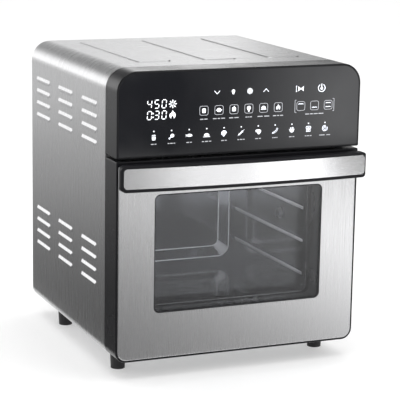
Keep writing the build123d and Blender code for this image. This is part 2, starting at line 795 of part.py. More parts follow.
with BuildPart() as motor_bracket:
    deck_z = motor_low - bridge_thick
    block((-bridge_half, bridge_half), bridge_width, (deck_z, motor_low))
    for side in (-1, 1):
        block(sorted((side * bridge_half, side * (bridge_half - bridge_thick))), bridge_width,
              (roof_z, deck_z))
        block(sorted((side * bridge_half, side * (bridge_half + bridge_foot))), bridge_width,
              (roof_z, roof_z + bridge_thick))
    rod("Z", (fan_x, fan_y), (deck_z - through, motor_low + through), shaft_way, Mode.SUBTRACT)
motor_bracket.part.label = "motor_bracket"
export_step(motor_bracket.part, "parts/motor_bracket.step")

cooler_hub = (9.0, motor_high + 4.0, motor_high + 16.0)  # radius, low and high
cooler_blades = 7
cooler_blade = (40.0, 20.0, 1.2)
cooler_blade_at = 27.0
cooler_pitch = 28.0

with BuildPart() as cooling_fan:
    cooler_radius, cooler_low, cooler_high = cooler_hub
    rod("Z", (fan_x, fan_y), (cooler_low, cooler_high), cooler_radius)
    with PolarLocations(0, cooler_blades):
        with Locations((cooler_blade_at, 0, (cooler_low + cooler_high) / 2)):
            Box(*cooler_blade, rotation=(cooler_pitch, 0, 0))
    rod("Z", (fan_x, fan_y), (motor_high, shaft_high + through), shaft_radius, Mode.SUBTRACT)
cooling_fan.part.label = "cooling_fan"
export_step(cooling_fan.part, "parts/cooling_fan.step")

# ---------------------------------------------------------------- rotisserie drive
socket_reach = 4.0
socket_depth = 7.0
socket_radius = 6.5
socket_square = 8.0
socket_round = 0.8
socket_back = drive_out + 3.0
drive_radius = 3.0
drive_end = drive_out + 14.0

with BuildPart() as rotisserie_socket:
    rod("X", socket_at, (cavity_half - socket_reach, socket_back), socket_radius)
    rod("X", socket_at, (socket_back, drive_end), drive_radius)
    with BuildSketch(Plane.YZ.offset(cavity_half - socket_reach)):
        with Locations(socket_at):
            Rectangle(socket_square, socket_square)
    extrude(amount=socket_depth, mode=Mode.SUBTRACT)
    fillet(rotisserie_socket.faces().sort_by(Axis.X)[0].outer_wire().edges(), socket_round)
rotisserie_socket.part.label = "rotisserie_socket"
export_step(rotisserie_socket.part, "parts/rotisserie_socket.step")

gearbox_half = 22.0
gearbox_round = 6.0
gearbox_x = (drive_out + 4.0, drive_out + 28.0)
mount_sheet = 1.5
mount_half = 14.0

with BuildPart() as rotisserie_motor:
    y, z = socket_at
    block(gearbox_x, (y - gearbox_half, y + gearbox_half), (z - gearbox_half, z + gearbox_half))
    fillet(rotisserie_motor.edges().filter_by(Axis.X), gearbox_round)
    block((drive_out, drive_out + mount_sheet), (y - gearbox_half, y + gearbox_half),
          (z - mount_half, z + mount_half))
    for side in (-1, 1):
        block((drive_out, gearbox_x[0] + through),
              sorted((y + side * gearbox_half, y + side * (gearbox_half - mount_sheet))),
              (z - mount_half, z + mount_half))
    rod("X", socket_at, (drive_out - through, gearbox_x[0]), socket_hole, Mode.SUBTRACT)
    rod("X", socket_at, (drive_out, drive_end), drive_radius + running_fit, Mode.SUBTRACT)
rotisserie_motor.part.label = "rotisserie_motor"
export_step(rotisserie_motor.part, "parts/rotisserie_motor.step")

rest_plate = (24.0, 22.0, 3.0)  # width, height and corner radius
rest_plate_drop = 4.0
rest_sheet = 1.2
rest_saddle = (16.0, 14.0, 5.0)
rest_saddle_drop = 3.0
rest_reach = 8.0
rest_radius = 4.0
rest_mouth = 12.0

with BuildPart() as rotisserie_support:
    y, z = socket_at
    with BuildSketch(Plane.YZ.offset(-cavity_half)):
        with Locations((y, z - rest_plate_drop)):
            RectangleRounded(*rest_plate)
    extrude(amount=rest_sheet)
    with BuildSketch(Plane.YZ.offset(-cavity_half + rest_sheet)):
        with Locations((y, z - rest_saddle_drop)):
            RectangleRounded(*rest_saddle)
        with Locations((y, z)):
            Circle(rest_radius, mode=Mode.SUBTRACT)
        with Locations((y, z + rest_mouth / 2)):
            Rectangle(2 * rest_radius, rest_mouth, mode=Mode.SUBTRACT)
    extrude(amount=rest_reach)
rotisserie_support.part.label = "rotisserie_support"
export_step(rotisserie_support.part, "parts/rotisserie_support.step")

# ---------------------------------------------------------------- lamp and sensors
lens_rim = (lamp_radius + 3.0, 2.5)  # radius and thickness
lens_round = 1.5
lamp_can = (lamp_radius + 4.0, 30.0)  # radius and depth
can_inside = (lamp_radius + 2.5, 22.0)
cap_radius = 5.5
cap_x = (lamp_wall - 24.0, lamp_wall - 16.0)
bulb_radius = 7.0
bulb_x = lamp_wall - 12.0

with BuildPart() as lamp_lens:
    rod("X", lamp_at, (lamp_wall, -cavity_half), lamp_radius)
    rod("X", lamp_at, (-cavity_half, -cavity_half + lens_rim[1]), lens_rim[0])
    fillet(lamp_lens.faces().sort_by(Axis.X)[-1].edges(), lens_round)
lamp_lens.part.label = "lamp_lens"
export_step(lamp_lens.part, "parts/lamp_lens.step")

with BuildPart() as lamp_holder:
    rod("X", lamp_at, (lamp_wall - lamp_can[1], lamp_wall), lamp_can[0])
    rod("X", lamp_at, (lamp_wall - can_inside[1], lamp_wall), can_inside[0], Mode.SUBTRACT)
    rod("X", lamp_at, (cap_x[0], lamp_wall), cap_radius, Mode.SUBTRACT)
lamp_holder.part.label = "lamp_holder"
export_step(lamp_holder.part, "parts/lamp_holder.step")

with BuildPart() as lamp_bulb:
    rod("X", lamp_at, cap_x, cap_radius)
    with Locations((bulb_x, *lamp_at)):
        Sphere(bulb_radius)
lamp_bulb.part.label = "lamp_bulb"
export_step(lamp_bulb.part, "parts/lamp_bulb.step")

probe_tip = cavity_half - probe_reach + probe_radius
probe_tail = 8.0
probe_collar = (7.0, 2.0)  # radius and thickness

with BuildPart() as temperature_probe:
    rod("X", probe_at, (probe_tip, drive_out + probe_tail), probe_radius)
    rod("X", probe_at, (drive_out, drive_out + probe_collar[1]), probe_collar[0])
    with Locations((probe_tip, *probe_at)):
        Sphere(probe_radius)
temperature_probe.part.label = "temperature_probe"
export_step(temperature_probe.part, "parts/temperature_probe.step")

cutout_at = (95.0, 92.0)
cutout_can = (8.0, 7.0)  # radius and height
cutout_strap = (13.0, 2.0, 1.5)  # half length, half width and thickness
cutout_blade = (3.0, 0.5, 6.0)

with BuildPart() as thermal_cutout:
    x, y = cutout_at
    can_top = roof_z + cutout_can[1]
    rod("Z", cutout_at, (roof_z, can_top), cutout_can[0])
    block((x - cutout_strap[0], x + cutout_strap[0]), (y - cutout_strap[1], y + cutout_strap[1]),
          (roof_z, roof_z + cutout_strap[2]))
    block((x - cutout_blade[0], x + cutout_blade[0]), (y - cutout_blade[1], y + cutout_blade[1]),
          (can_top, can_top + cutout_blade[2]))
thermal_cutout.part.label = "thermal_cutout"
export_step(thermal_cutout.part, "parts/thermal_cutout.step")

# ---------------------------------------------------------------- power electronics
board_x, board_y = (-140.0, -40.0), (104.0, 160.0)
board_z = 312.0
board_top = board_z + board_thick
posts_x = (-116.0, -46.0)
post_y = (108.0, 114.0)
post_half = 5.0
relays_x = (-122.0, -96.0)
relay_half, relay_y, relay_high = 10.0, (116.0, 132.0), 16.0
transformer = ((-80.0, -48.0), (138.0, 154.0), 22.0)  # X range, Y range and height
driver = ((-78.0, -52.0), (112.0, 124.0), 10.0)
capacitors_at = ((-120.0, 146.0), (-100.0, 146.0))
capacitor_radius, capacitor_high = 7.0, 20.0

with BuildPart() as board_posts:
    for x in posts_x:
        block((x - post_half, x + post_half), post_y, (roof_z, board_z))
board_posts.part.label = "board_posts"
export_step(board_posts.part, "parts/board_posts.step")

with BuildPart() as main_board:
    block(board_x, board_y, (board_z, board_top))
    for x in relays_x:
        block((x - relay_half, x + relay_half), relay_y, (board_top, board_top + relay_high))
    for x_range, y_range, height in (transformer, driver):
        block(x_range, y_range, (board_top, board_top + height))
    for at in capacitors_at:
        rod("Z", at, (board_top, board_top + capacitor_high), capacitor_radius)
main_board.part.label = "main_board"
export_step(main_board.part, "parts/main_board.step")

terminal_x, terminal_y = (-130.0, -86.0), (135.0, 155.0)
terminal_high = 14.0
ways_at = [(x, 145.0) for x in (-120.0, -108.0, -96.0)]
way_radius, way_depth = 3.5, 6.0

with BuildPart() as terminal_block:
    terminal_top = plate_top_z + terminal_high
    block(terminal_x, terminal_y, (plate_top_z, terminal_top))
    for at in ways_at:
        rod("Z", at, (terminal_top - way_depth, terminal_top + through), way_radius, Mode.SUBTRACT)
terminal_block.part.label = "terminal_block"
export_step(terminal_block.part, "parts/terminal_block.step")

# ---------------------------------------------------------------- door switch
liner_back = frame_face - 2.8
plunger_tip = liner_back + 0.4
plunger_back = frame_back + 8.0
switch_half_x, switch_half_z, switch_deep = 7.0, 14.0, 18.0
tag_half_x, tag_half_z, tag_length = 3.0, 0.5, 8.0
tag_pitch = 16.0

with BuildPart() as switch_plunger:
    rod("Y", switch_at, (plunger_tip, plunger_back), plunger_radius)
    fillet(switch_plunger.faces().sort_by(Axis.Y)[0].edges(), plunger_radius / 2)
switch_plunger.part.label = "switch_plunger"
export_step(switch_plunger.part, "parts/switch_plunger.step")

with BuildPart() as door_switch:
    x, z = switch_at
    switch_rear = frame_back + switch_deep
    block((x - switch_half_x, x + switch_half_x), (frame_back, switch_rear),
          (z - switch_half_z, z + switch_half_z))
    rod("Y", switch_at, (frame_back - through, plunger_back + through),
        plunger_radius + running_fit, Mode.SUBTRACT)
    for tag_z in (z - tag_pitch / 2, z + tag_pitch / 2):
        block((x - tag_half_x, x + tag_half_x), (switch_rear, switch_rear + tag_length),
              (tag_z - tag_half_z, tag_z + tag_half_z))
door_switch.part.label = "door_switch"
export_step(door_switch.part, "parts/door_switch.step")

# ---------------------------------------------------------------- door
rim_face = front_y + rim_setback
skin_back = front_y + skin_depth
front_wall_back = skin_back + 3.5
pane_front = front_y + wall
pane_back = pane_front + outer_pane
pane_edge = 9.0
liner_front = liner_back - wall
inner_front = liner_front - inner_pane
lip_front = inner_front - 2.5
hollow_half = half_width - 3.0
hollow_low = base_z + 20.0
hollow_high = door_top - 3.0
reveal_wall = 2.5
liner_hem = 1.8  # steel edge left showing inside the plastic lip
boss_radius = 4.0
frame_top_round = 1.5
hollow_corner = 4.0
seat_corner = 4.0
glass_seat = 6.0  # the inner pane's seat is this much larger than the window
lip_corner = 6.5
hinge_slot = 7.0
liner_shank = (1.5, 12.0)
liner_head = (3.2, 1.6)
handle_screw_z = (handle_low + handle_high) / 2
liner_screws_at = [(s * 146.0, z) for s in (-1, 1) for z in (60.0, 150.0, 240.0)]
liner_screws_at += [(0.0, hollow_low + 7.0), (0.0, hollow_high - 3.4)]
handle_screws_at = [(s * (post_inner + post_outer) / 2, handle_screw_z) for s in (-1, 1)]

with BuildPart() as door_frame:
    with BuildSketch(xz(door_back)):
        add(section(0, base_z, door_top, bottom_radius, frame_top_round))
    extrude(amount=door_back - rim_face)
    fillet(door_frame.faces().sort_by(Axis.Y)[0].edges(), edge_round)
    # rear lower edge rounded about the hinge axis, so that it turns clear of the housing
    with BuildSketch(Plane.YZ.offset(-half_width)):
        with Locations((hinge_y + hinge_radius / 2, hinge_z - hinge_radius / 2)):
            Rectangle(hinge_radius, hinge_radius)
        with Locations((hinge_y, hinge_z)):
            Circle(hinge_radius, mode=Mode.SUBTRACT)
    extrude(amount=body_width, mode=Mode.SUBTRACT)
    # seat of the steel skin and of the outer pane
    with BuildSketch(xz(front_y)):
        add(section(rim, base_z + rim, skin_top, bottom_radius - rim, flat_corner))
    extrude(amount=-skin_depth, mode=Mode.SUBTRACT)
    with BuildSketch(xz(front_y)):
        add(pane_outline(window_half + pane_edge + gap, window_low - pane_edge - gap,
                         window_high + pane_edge + gap, seat_corner))
    extrude(amount=-(pane_back - front_y), mode=Mode.SUBTRACT)
    # hollow back, leaving the tunnel round the window
    with BuildSketch(xz(door_back)):
        add(pane_outline(hollow_half, hollow_low, hollow_high, hollow_corner))
        add(pane_outline(window_half + reveal_wall, window_low - reveal_wall,
                         window_high + reveal_wall, window_radius + reveal_wall),
            mode=Mode.SUBTRACT)
        for at in liner_screws_at:
            with Locations(at):
                Circle(boss_radius, mode=Mode.SUBTRACT)
    extrude(amount=door_back - front_wall_back, mode=Mode.SUBTRACT)
    with BuildSketch(xz(door_back)):
        add(pane_outline(hollow_half, hollow_low, hollow_high, hollow_corner))
    extrude(amount=door_back - liner_front, mode=Mode.SUBTRACT)
    with BuildSketch(xz(liner_front)):
        add(pane_outline(window_half + glass_seat, window_low - glass_seat,
                         window_high + glass_seat, seat_corner))
    extrude(amount=inner_pane, mode=Mode.SUBTRACT)
    with BuildSketch(xz(lip_front)):
        add(pane_outline(window_half, window_low, window_high, window_radius))
    extrude(amount=lip_front - front_y, mode=Mode.SUBTRACT)
    with BuildSketch(xz(door_back)):
        add(pane_outline(lip_half, lip_low, lip_high, lip_corner))
    extrude(amount=door_back - front_y, mode=Mode.SUBTRACT)
    for side in (-1, 1):
        x = side * hinge_x
        block((x - lug_half - lug_clear, x + lug_half + lug_clear),
              (hinge_y - hinge_slot, door_back + through), (base_z - through, hinge_z + hinge_slot),
              Mode.SUBTRACT)
        rod("X", (hinge_y, hinge_z), (x - pin_half, x + pin_half), pin_radius, Mode.SUBTRACT)
    for at in liner_screws_at:
        rod("Y", at, (front_wall_back + boss_radius, door_back), liner_shank[0], Mode.SUBTRACT)
    for at in handle_screws_at:
        rod("Y", at, (front_y - through, front_wall_back + through), bolt_hole, Mode.SUBTRACT)
door_frame.part.label = "door_frame"
export_step(door_frame.part, "parts/door_frame.step")

skin_inset = rim + gap
fold_inset = skin_inset + wall  # inside of the skin's folded edge

with BuildPart() as door_skin:
    with BuildSketch(xz(skin_back)):
        add(section(skin_inset, base_z + skin_inset, skin_top - gap, bottom_radius - skin_inset,
                    flat_corner - gap))
    extrude(amount=skin_depth)
    fillet(door_skin.faces().sort_by(Axis.Y)[0].edges(), edge_round)
    with BuildSketch(xz(skin_back)):
        add(section(fold_inset, base_z + fold_inset, skin_top - gap - wall,
                    bottom_radius - fold_inset, flat_corner - wall))
    extrude(amount=skin_depth - wall, mode=Mode.SUBTRACT)
    with BuildSketch(xz(skin_back)):
        add(pane_outline(window_half, window_low, window_high, window_radius))
    extrude(amount=skin_depth, mode=Mode.SUBTRACT)
    for at in handle_screws_at:
        rod("Y", at, (front_y - through, skin_back + through), bolt_hole, Mode.SUBTRACT)
door_skin.part.label = "door_skin"
export_step(door_skin.part, "parts/door_skin.step")

with BuildPart() as door_glass:
    with BuildSketch(xz(pane_back)):
        add(pane_outline(window_half + pane_edge, window_low - pane_edge,
                         window_high + pane_edge, seat_corner))
    extrude(amount=outer_pane)
door_glass.part.label = "door_glass"
export_step(door_glass.part, "parts/door_glass.step")

with BuildPart() as inner_glass:
    with BuildSketch(xz(liner_front)):
        glass_edge = glass_seat - gap
        add(pane_outline(window_half + glass_edge, window_low - glass_edge,
                         window_high + glass_edge, seat_corner - gap))
    extrude(amount=inner_pane)
inner_glass.part.label = "inner_glass"
export_step(inner_glass.part, "parts/inner_glass.step")

with BuildPart() as inner_panel:
    with BuildSketch(xz(liner_back)):
        add(pane_outline(hollow_half - gap, hollow_low + gap, hollow_high - gap,
                         hollow_corner - gap))
        add(pane_outline(lip_half - liner_hem, lip_low + liner_hem, lip_high - liner_hem,
                         lip_corner - wall), mode=Mode.SUBTRACT)
        for at in liner_screws_at:
            with Locations(at):
                Circle(small_hole, mode=Mode.SUBTRACT)
    extrude(amount=wall)
inner_panel.part.label = "inner_panel"
export_step(inner_panel.part, "parts/inner_panel.step")

with BuildPart() as liner_screws:
    for at in liner_screws_at:
        screw("Y", at, liner_back, 1, liner_head, liner_shank)
liner_screws.part.label = "liner_screws"
export_step(liner_screws.part, "parts/liner_screws.step")

seal_half = cavity_half + 10.0
seal_low = cavity_floor_z - 7.0
seal_high = cavity_top_z + 4.5
seal_width = 4.0
seal_corner = 8.0
seal_thick = 2.3

with BuildPart() as door_seal:
    with BuildSketch(xz(liner_back + seal_thick)):
        add(pane_outline(seal_half, seal_low, seal_high, seal_corner))
        add(pane_outline(seal_half - seal_width, seal_low + seal_width, seal_high - seal_width,
                         seal_corner - seal_width), mode=Mode.SUBTRACT)
    extrude(amount=seal_thick)
door_seal.part.label = "door_seal"
export_step(door_seal.part, "parts/door_seal.step")

with BuildPart() as hinge_pins:
    for side in (-1, 1):
        x = side * hinge_x
        rod("X", (hinge_y, hinge_z), (x - pin_half, x + pin_half), pin_radius)
hinge_pins.part.label = "hinge_pins"
export_step(hinge_pins.part, "parts/hinge_pins.step")

# ---------------------------------------------------------------- handle
plate_corner = 4.5
bar_corner = 6.5
outer_end = handle_end_y + plate_proud
inner_end = handle_end_y + bar_thick
bar_round = 3.5
post_round = 4.0
handle_bolt_tip = front_y - 13.5
handle_bolt_hole = front_y - 14.0
handle_bolt_head = (3.6, 3.0)  # radius and height

with BuildPart() as handle_plate:
    with BuildSketch(Plane.XY.offset(plate_low)):
        with BuildLine():
            ThreePointArc((-handle_half, handle_end_y), (0, handle_mid_y), (handle_half, handle_end_y))
            Line((handle_half, handle_end_y), (handle_half, handle_end_y + plate_thick))
            ThreePointArc((handle_half, handle_end_y + plate_thick), (0, handle_mid_y + plate_thick),
                          (-handle_half, handle_end_y + plate_thick))
            Line((-handle_half, handle_end_y + plate_thick), (-handle_half, handle_end_y))
        make_face()
    extrude(amount=plate_high - plate_low)
    with BuildSketch(xz(front_y)):
        add(pane_outline(plate_half, plate_low, plate_high, plate_corner))
    extrude(amount=2 * handle_reach, mode=Mode.INTERSECT)
handle_plate.part.label = "handle_plate"
export_step(handle_plate.part, "parts/handle_plate.step")

with BuildPart() as handle_body:
    with BuildSketch(Plane.XY.offset(handle_low)) as handle_plan:
        with BuildLine():
            ThreePointArc((-handle_half, outer_end), (0, handle_mid_y + plate_proud),
                          (handle_half, outer_end))
            Line((handle_half, outer_end), (handle_half, inner_end))
            ThreePointArc((handle_half, inner_end), (0, handle_mid_y + bar_thick),
                          (-handle_half, inner_end))
            Line((-handle_half, inner_end), (-handle_half, outer_end))
        make_face()
        fillet(handle_plan.vertices(), bar_round)
    extrude(amount=handle_high - handle_low)
    with BuildSketch(xz(front_y)):
        add(pane_outline(handle_half, handle_low, handle_high, bar_corner))
    extrude(amount=2 * handle_reach, mode=Mode.INTERSECT)
    for side in (-1, 1):
        block(sorted((side * post_inner, side * post_outer)),
              (handle_end_y + bar_thick / 2, front_y),
              (handle_low + post_round, handle_high - post_round))
    add(handle_plate.part, mode=Mode.SUBTRACT)
    for at in handle_screws_at:
        rod("Y", at, (handle_bolt_hole, front_y), bolt_radius, Mode.SUBTRACT)
handle_body.part.label = "handle_body"
export_step(handle_body.part, "parts/handle_body.step")

with BuildPart() as handle_screws:
    for at in handle_screws_at:
        rod("Y", at, (handle_bolt_tip, front_wall_back), bolt_radius)
        rod("Y", at, (front_wall_back, front_wall_back + handle_bolt_head[1]), handle_bolt_head[0])
handle_screws.part.label = "handle_screws"
export_step(handle_screws.part, "parts/handle_screws.step")
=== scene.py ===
import json
import math

import bmesh
import bpy
from mathutils import Matrix, Vector


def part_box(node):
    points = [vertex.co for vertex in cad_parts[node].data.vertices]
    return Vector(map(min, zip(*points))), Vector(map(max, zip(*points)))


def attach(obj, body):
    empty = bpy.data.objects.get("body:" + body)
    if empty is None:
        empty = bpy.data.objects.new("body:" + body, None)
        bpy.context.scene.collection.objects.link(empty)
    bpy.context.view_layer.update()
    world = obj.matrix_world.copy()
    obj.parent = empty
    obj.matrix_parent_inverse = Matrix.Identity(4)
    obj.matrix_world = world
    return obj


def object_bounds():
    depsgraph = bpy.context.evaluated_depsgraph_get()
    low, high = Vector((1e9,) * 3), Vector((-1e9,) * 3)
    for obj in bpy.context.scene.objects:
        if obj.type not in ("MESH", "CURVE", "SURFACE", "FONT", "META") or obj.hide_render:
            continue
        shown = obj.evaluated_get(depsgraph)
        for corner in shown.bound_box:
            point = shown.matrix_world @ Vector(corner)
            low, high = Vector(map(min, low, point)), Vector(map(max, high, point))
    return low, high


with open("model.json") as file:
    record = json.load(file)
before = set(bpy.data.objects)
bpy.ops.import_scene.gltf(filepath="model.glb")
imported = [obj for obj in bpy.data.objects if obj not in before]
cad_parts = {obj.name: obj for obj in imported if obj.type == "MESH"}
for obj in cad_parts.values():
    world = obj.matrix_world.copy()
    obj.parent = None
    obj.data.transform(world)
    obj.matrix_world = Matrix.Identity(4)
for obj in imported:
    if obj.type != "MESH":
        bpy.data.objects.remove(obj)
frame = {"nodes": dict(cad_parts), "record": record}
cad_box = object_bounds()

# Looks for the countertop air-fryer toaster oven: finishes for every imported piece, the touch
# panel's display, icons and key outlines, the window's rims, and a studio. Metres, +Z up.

MM = 0.001
nodes = frame["nodes"]


# ---------------------------------------------------------------- node and mesh helpers
def fill_ramp(ramp, stops):
    """Set a colour ramp's grey stops from (position, value) pairs, as shares of the highest."""
    top = max(value for _, value in stops)
    elements = ramp.color_ramp.elements
    while len(elements) < len(stops):
        elements.new(0.5)
    for element, (place, value) in zip(elements, stops):
        element.position = place
        element.color = (value / top, value / top, value / top, 1)
    return top


def feed(tree, value, socket):
    """Link a socket, or set a constant: a number, an axis or a colour without alpha."""
    if isinstance(value, bpy.types.NodeSocket):
        tree.links.new(value, socket)
    elif socket.type == "RGBA":
        socket.default_value = (*value, 1)
    else:
        socket.default_value = value


def map_range(tree, value, start, end, low, high):
    """Map start..end to low..high; low and high are numbers or sockets."""
    mapped = tree.nodes.new("ShaderNodeMapRange")
    for key, number in (("Value", value), ("From Min", start), ("From Max", end),
                        ("To Min", low), ("To Max", high)):
        feed(tree, number, mapped.inputs[key])
    return mapped.outputs["Result"]


def close_band(mesh, outer_front, outer_back, inner_front, inner_back):
    """Join four loops of the same length into a closed band."""
    for a, b in ((outer_front, inner_front), (inner_front, inner_back),
                 (inner_back, outer_back), (outer_back, outer_front)):
        for i in range(len(a)):
            j = (i + 1) % len(a)
            mesh.faces.new((a[i], a[j], b[j], b[i]))


def finish_piece(mesh, name, surface, body):
    """Turn a bmesh into a named piece that rides on a body."""
    bmesh.ops.recalc_face_normals(mesh, faces=mesh.faces[:])
    data = bpy.data.meshes.new(name)
    mesh.to_mesh(data)
    mesh.free()
    data.materials.append(surface.mat)
    piece = bpy.data.objects.new(name, data)
    bpy.context.scene.collection.objects.link(piece)
    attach(piece, body)


# ---------------------------------------------------------------- material toolkit
CONTRAST = (0.3, 0.7)  # the part of a noise's range that is spread over the whole
BEVEL_SAMPLES = 4
EDGE_SHARPNESS = 0.04  # loss of cosine at which an edge counts as fully sharp
WEAR_SCALE = 70


class Surface:
    """A Principled material with short calls for the nodes that vary it over the object."""

    def __init__(self, name, color, roughness, metallic=0.0):
        self.mat = bpy.data.materials.new(name)
        self.mat.use_nodes = True
        self.tree = self.mat.node_tree
        self.shader = self.tree.nodes["Principled BSDF"]
        self.set(Base_Color=(*color, 1), Roughness=roughness, Metallic=metallic)
        self.coords = self.node("ShaderNodeTexCoord").outputs["Object"]

    def node(self, kind, **settings):
        made = self.tree.nodes.new(kind)
        for key, value in settings.items():
            setattr(made, key, value)
        return made

    def link(self, source, target):
        self.tree.links.new(source, target)

    def drive(self, source, socket_name):
        self.link(source, self.shader.inputs[socket_name])

    def source(self, socket_name):
        """What is already linked to one of the shader's sockets."""
        return self.shader.inputs[socket_name].links[0].from_socket

    def set(self, **values):
        """Set sockets that are the same all over, such as Specular_IOR_Level=0.3."""
        for key, value in values.items():
            self.shader.inputs[key.replace("_", " ")].default_value = value

    def noise(self, scale, detail=3.0, stretch=(1, 1, 1)):
        """Noise from 0 to 1; scale is features per metre and stretch multiplies it per axis."""
        place = self.node("ShaderNodeMapping")
        place.inputs["Scale"].default_value = tuple(scale * s for s in stretch)
        self.link(self.coords, place.inputs["Vector"])
        field = self.node("ShaderNodeTexNoise")
        field.inputs["Scale"].default_value = 1.0
        field.inputs["Detail"].default_value = detail
        self.link(place.outputs["Vector"], field.inputs["Vector"])
        return field.outputs["Fac"]

    def spread(self, value, low=0.0, high=1.0):
        """Map a 0 to 1 value to the range low to high, with its contrast raised."""
        return map_range(self.tree, value, *CONTRAST, low, high)

    def blend(self, factor, first, second):
        """Colour between two constant colours or sockets."""
        mix = self.node("ShaderNodeMix", data_type="RGBA")
        ends = [s for s in mix.inputs if s.name in ("A", "B") and s.type == "RGBA"]
        for value, socket in zip((first, second), ends):
            feed(self.tree, value, socket)
        self.link(factor, mix.inputs["Factor"])
        return next(s for s in mix.outputs if s.type == "RGBA")

    def cross(self, first, second):
        """Cross product of two sockets, or of a socket and a constant axis."""
        product = self.node("ShaderNodeVectorMath", operation="CROSS_PRODUCT")
        for value, socket in zip((first, second), product.inputs):
            feed(self.tree, value, socket)
        return product.outputs["Vector"]

    def vary_color(self, value, dark, light):
        self.drive(self.blend(value, dark, light), "Base Color")

    def vary_roughness(self, value, low, high):
        self.drive(self.spread(value, low, high), "Roughness")

    def relief(self, *layers):
        """Stack bumps: each layer is (height socket, depth in metres)."""
        previous = None
        for height, depth in layers:
            bump = self.node("ShaderNodeBump")
            bump.inputs["Strength"].default_value = 1.0
            bump.inputs["Distance"].default_value = depth
            self.link(height, bump.inputs["Height"])
            if previous is not None:
                self.link(previous, bump.inputs["Normal"])
            previous = bump.outputs["Normal"]
        self.drive(previous, "Normal")

    def edges(self, radius):
        """0 on flat faces, rising to 1 on edges sharper than the radius can follow."""
        bevel = self.node("ShaderNodeBevel", samples=BEVEL_SAMPLES)
        bevel.inputs["Radius"].default_value = radius
        flat = self.node("ShaderNodeNewGeometry")
        facing = self.node("ShaderNodeVectorMath", operation="DOT_PRODUCT")
        self.link(bevel.outputs["Normal"], facing.inputs[0])
        self.link(flat.outputs["Normal"], facing.inputs[1])
        return map_range(self.tree, facing.outputs["Value"], 1.0, 1.0 - EDGE_SHARPNESS, 0.0, 1.0)

    def wear(self, radius, color, base):
        """Rubbed edges: a patchy blend from the base colour socket to the given colour."""
        rubbed = self.node("ShaderNodeMath", operation="MULTIPLY")
        self.link(self.edges(radius), rubbed.inputs[0])
        self.link(self.spread(self.noise(WEAR_SCALE, 4.0)), rubbed.inputs[1])
        self.drive(self.blend(rubbed.outputs[0], base, color), "Base Color")

    def stretch_highlights(self, axis, along_axis, amount):
        """Stretch highlights along the axis, or square to brush lines that run along it."""
        facing = self.node("ShaderNodeNewGeometry").outputs["Normal"]
        across = self.cross(facing, axis)
        if along_axis:
            across = self.cross(across, facing)
        self.drive(across, "Tangent")
        self.set(Anisotropic=amount)


def shade(color, factor):
    return tuple(c * factor for c in color)


# features per metre of each kind of unevenness
FINE_LINES, BROAD_BANDS, CLOUDS = 2600, 420, 9
WAVES, WIPES, SHEET_TINT = 30, 40, 16
SPARK, FLOW, COAT_GRAIN, WIPED_HAZE, BACKLIGHT = 2200, 22, 900, 14, 160
LINE_STRETCH = 0.006  # brush lines are this much coarser along than across
METAL_EDGE, PLASTIC_EDGE = 0.5 * MM, 0.4 * MM
# each axis leans a little, so that no flat face is square to it
NEAR_X, NEAR_Y = (1.0, 0.06, 0.03), (0.06, 1.0, 0.03)


def brushed(name, tone, roughness, grain, vary=0.05, stretch=0.6, depth=1.0):
    """Brushed steel; grain names the axis, or the two axes, that the brush lines run along."""
    color = (tone, tone, tone * 1.012)
    s = Surface(name, color, roughness, metallic=1.0)
    along = tuple(LINE_STRETCH if axis in grain else 1.0 for axis in "XYZ")
    lines = s.noise(FINE_LINES, 2.0, along)
    bands = s.noise(BROAD_BANDS, 3.0, along)
    streaks = s.node("ShaderNodeMath", operation="MULTIPLY_ADD")
    s.link(bands, streaks.inputs[0])
    streaks.inputs[1].default_value = 0.6
    s.link(s.spread(s.noise(CLOUDS, 2.0), 0.1, 0.3), streaks.inputs[2])
    base = s.blend(streaks.outputs[0], shade(color, 1 - vary), shade(color, 1 + vary))
    s.wear(METAL_EDGE, shade(color, 1.18), base)
    s.vary_roughness(lines, roughness - 0.05, roughness + 0.07)
    s.relief((bands, 3e-6 * depth), (lines, 2e-6 * depth))
    # highlights stretch square to the brush lines: round X for lines along X, which keep that
    # direction when the door turns, along Y on a wrap and along X where lines stand upright
    s.stretch_highlights(NEAR_Y if grain == "XZ" else NEAR_X, grain != "X", stretch)
    return s


def sheet(name, tone, roughness):
    """Smooth rolled steel sheet, almost a mirror, with soft waviness and a few wiping marks."""
    color = (tone, tone, tone * 1.02)
    s = Surface(name, color, roughness, metallic=1.0)
    s.vary_color(s.spread(s.noise(SHEET_TINT, 3.0)), shade(color, 0.92), shade(color, 1.06))
    s.vary_roughness(s.noise(WIPES, 4.0), roughness - 0.03, roughness + 0.04)
    s.relief((s.noise(WAVES, 2.0), 1.2e-5))
    return s


# cosines of the tilt from the flat: a pressing slopes at 23 degrees, and its bends are the
# tilts from 4 to 20
BENDS = ((0.0, 0.0), (0.925, 0.0), (0.95, 1.0), (0.99, 1.0), (0.998, 0.0))
# the bends' pale colour is a painted highlight for the bright lines that reflections draw along
# them; their satin roughness and lower metallic are the finish
BEND_HIGHLIGHT_COLOR, BEND_ROUGHNESS, BEND_METALLIC = (0.95, 0.95, 0.96), 0.5, 0.3


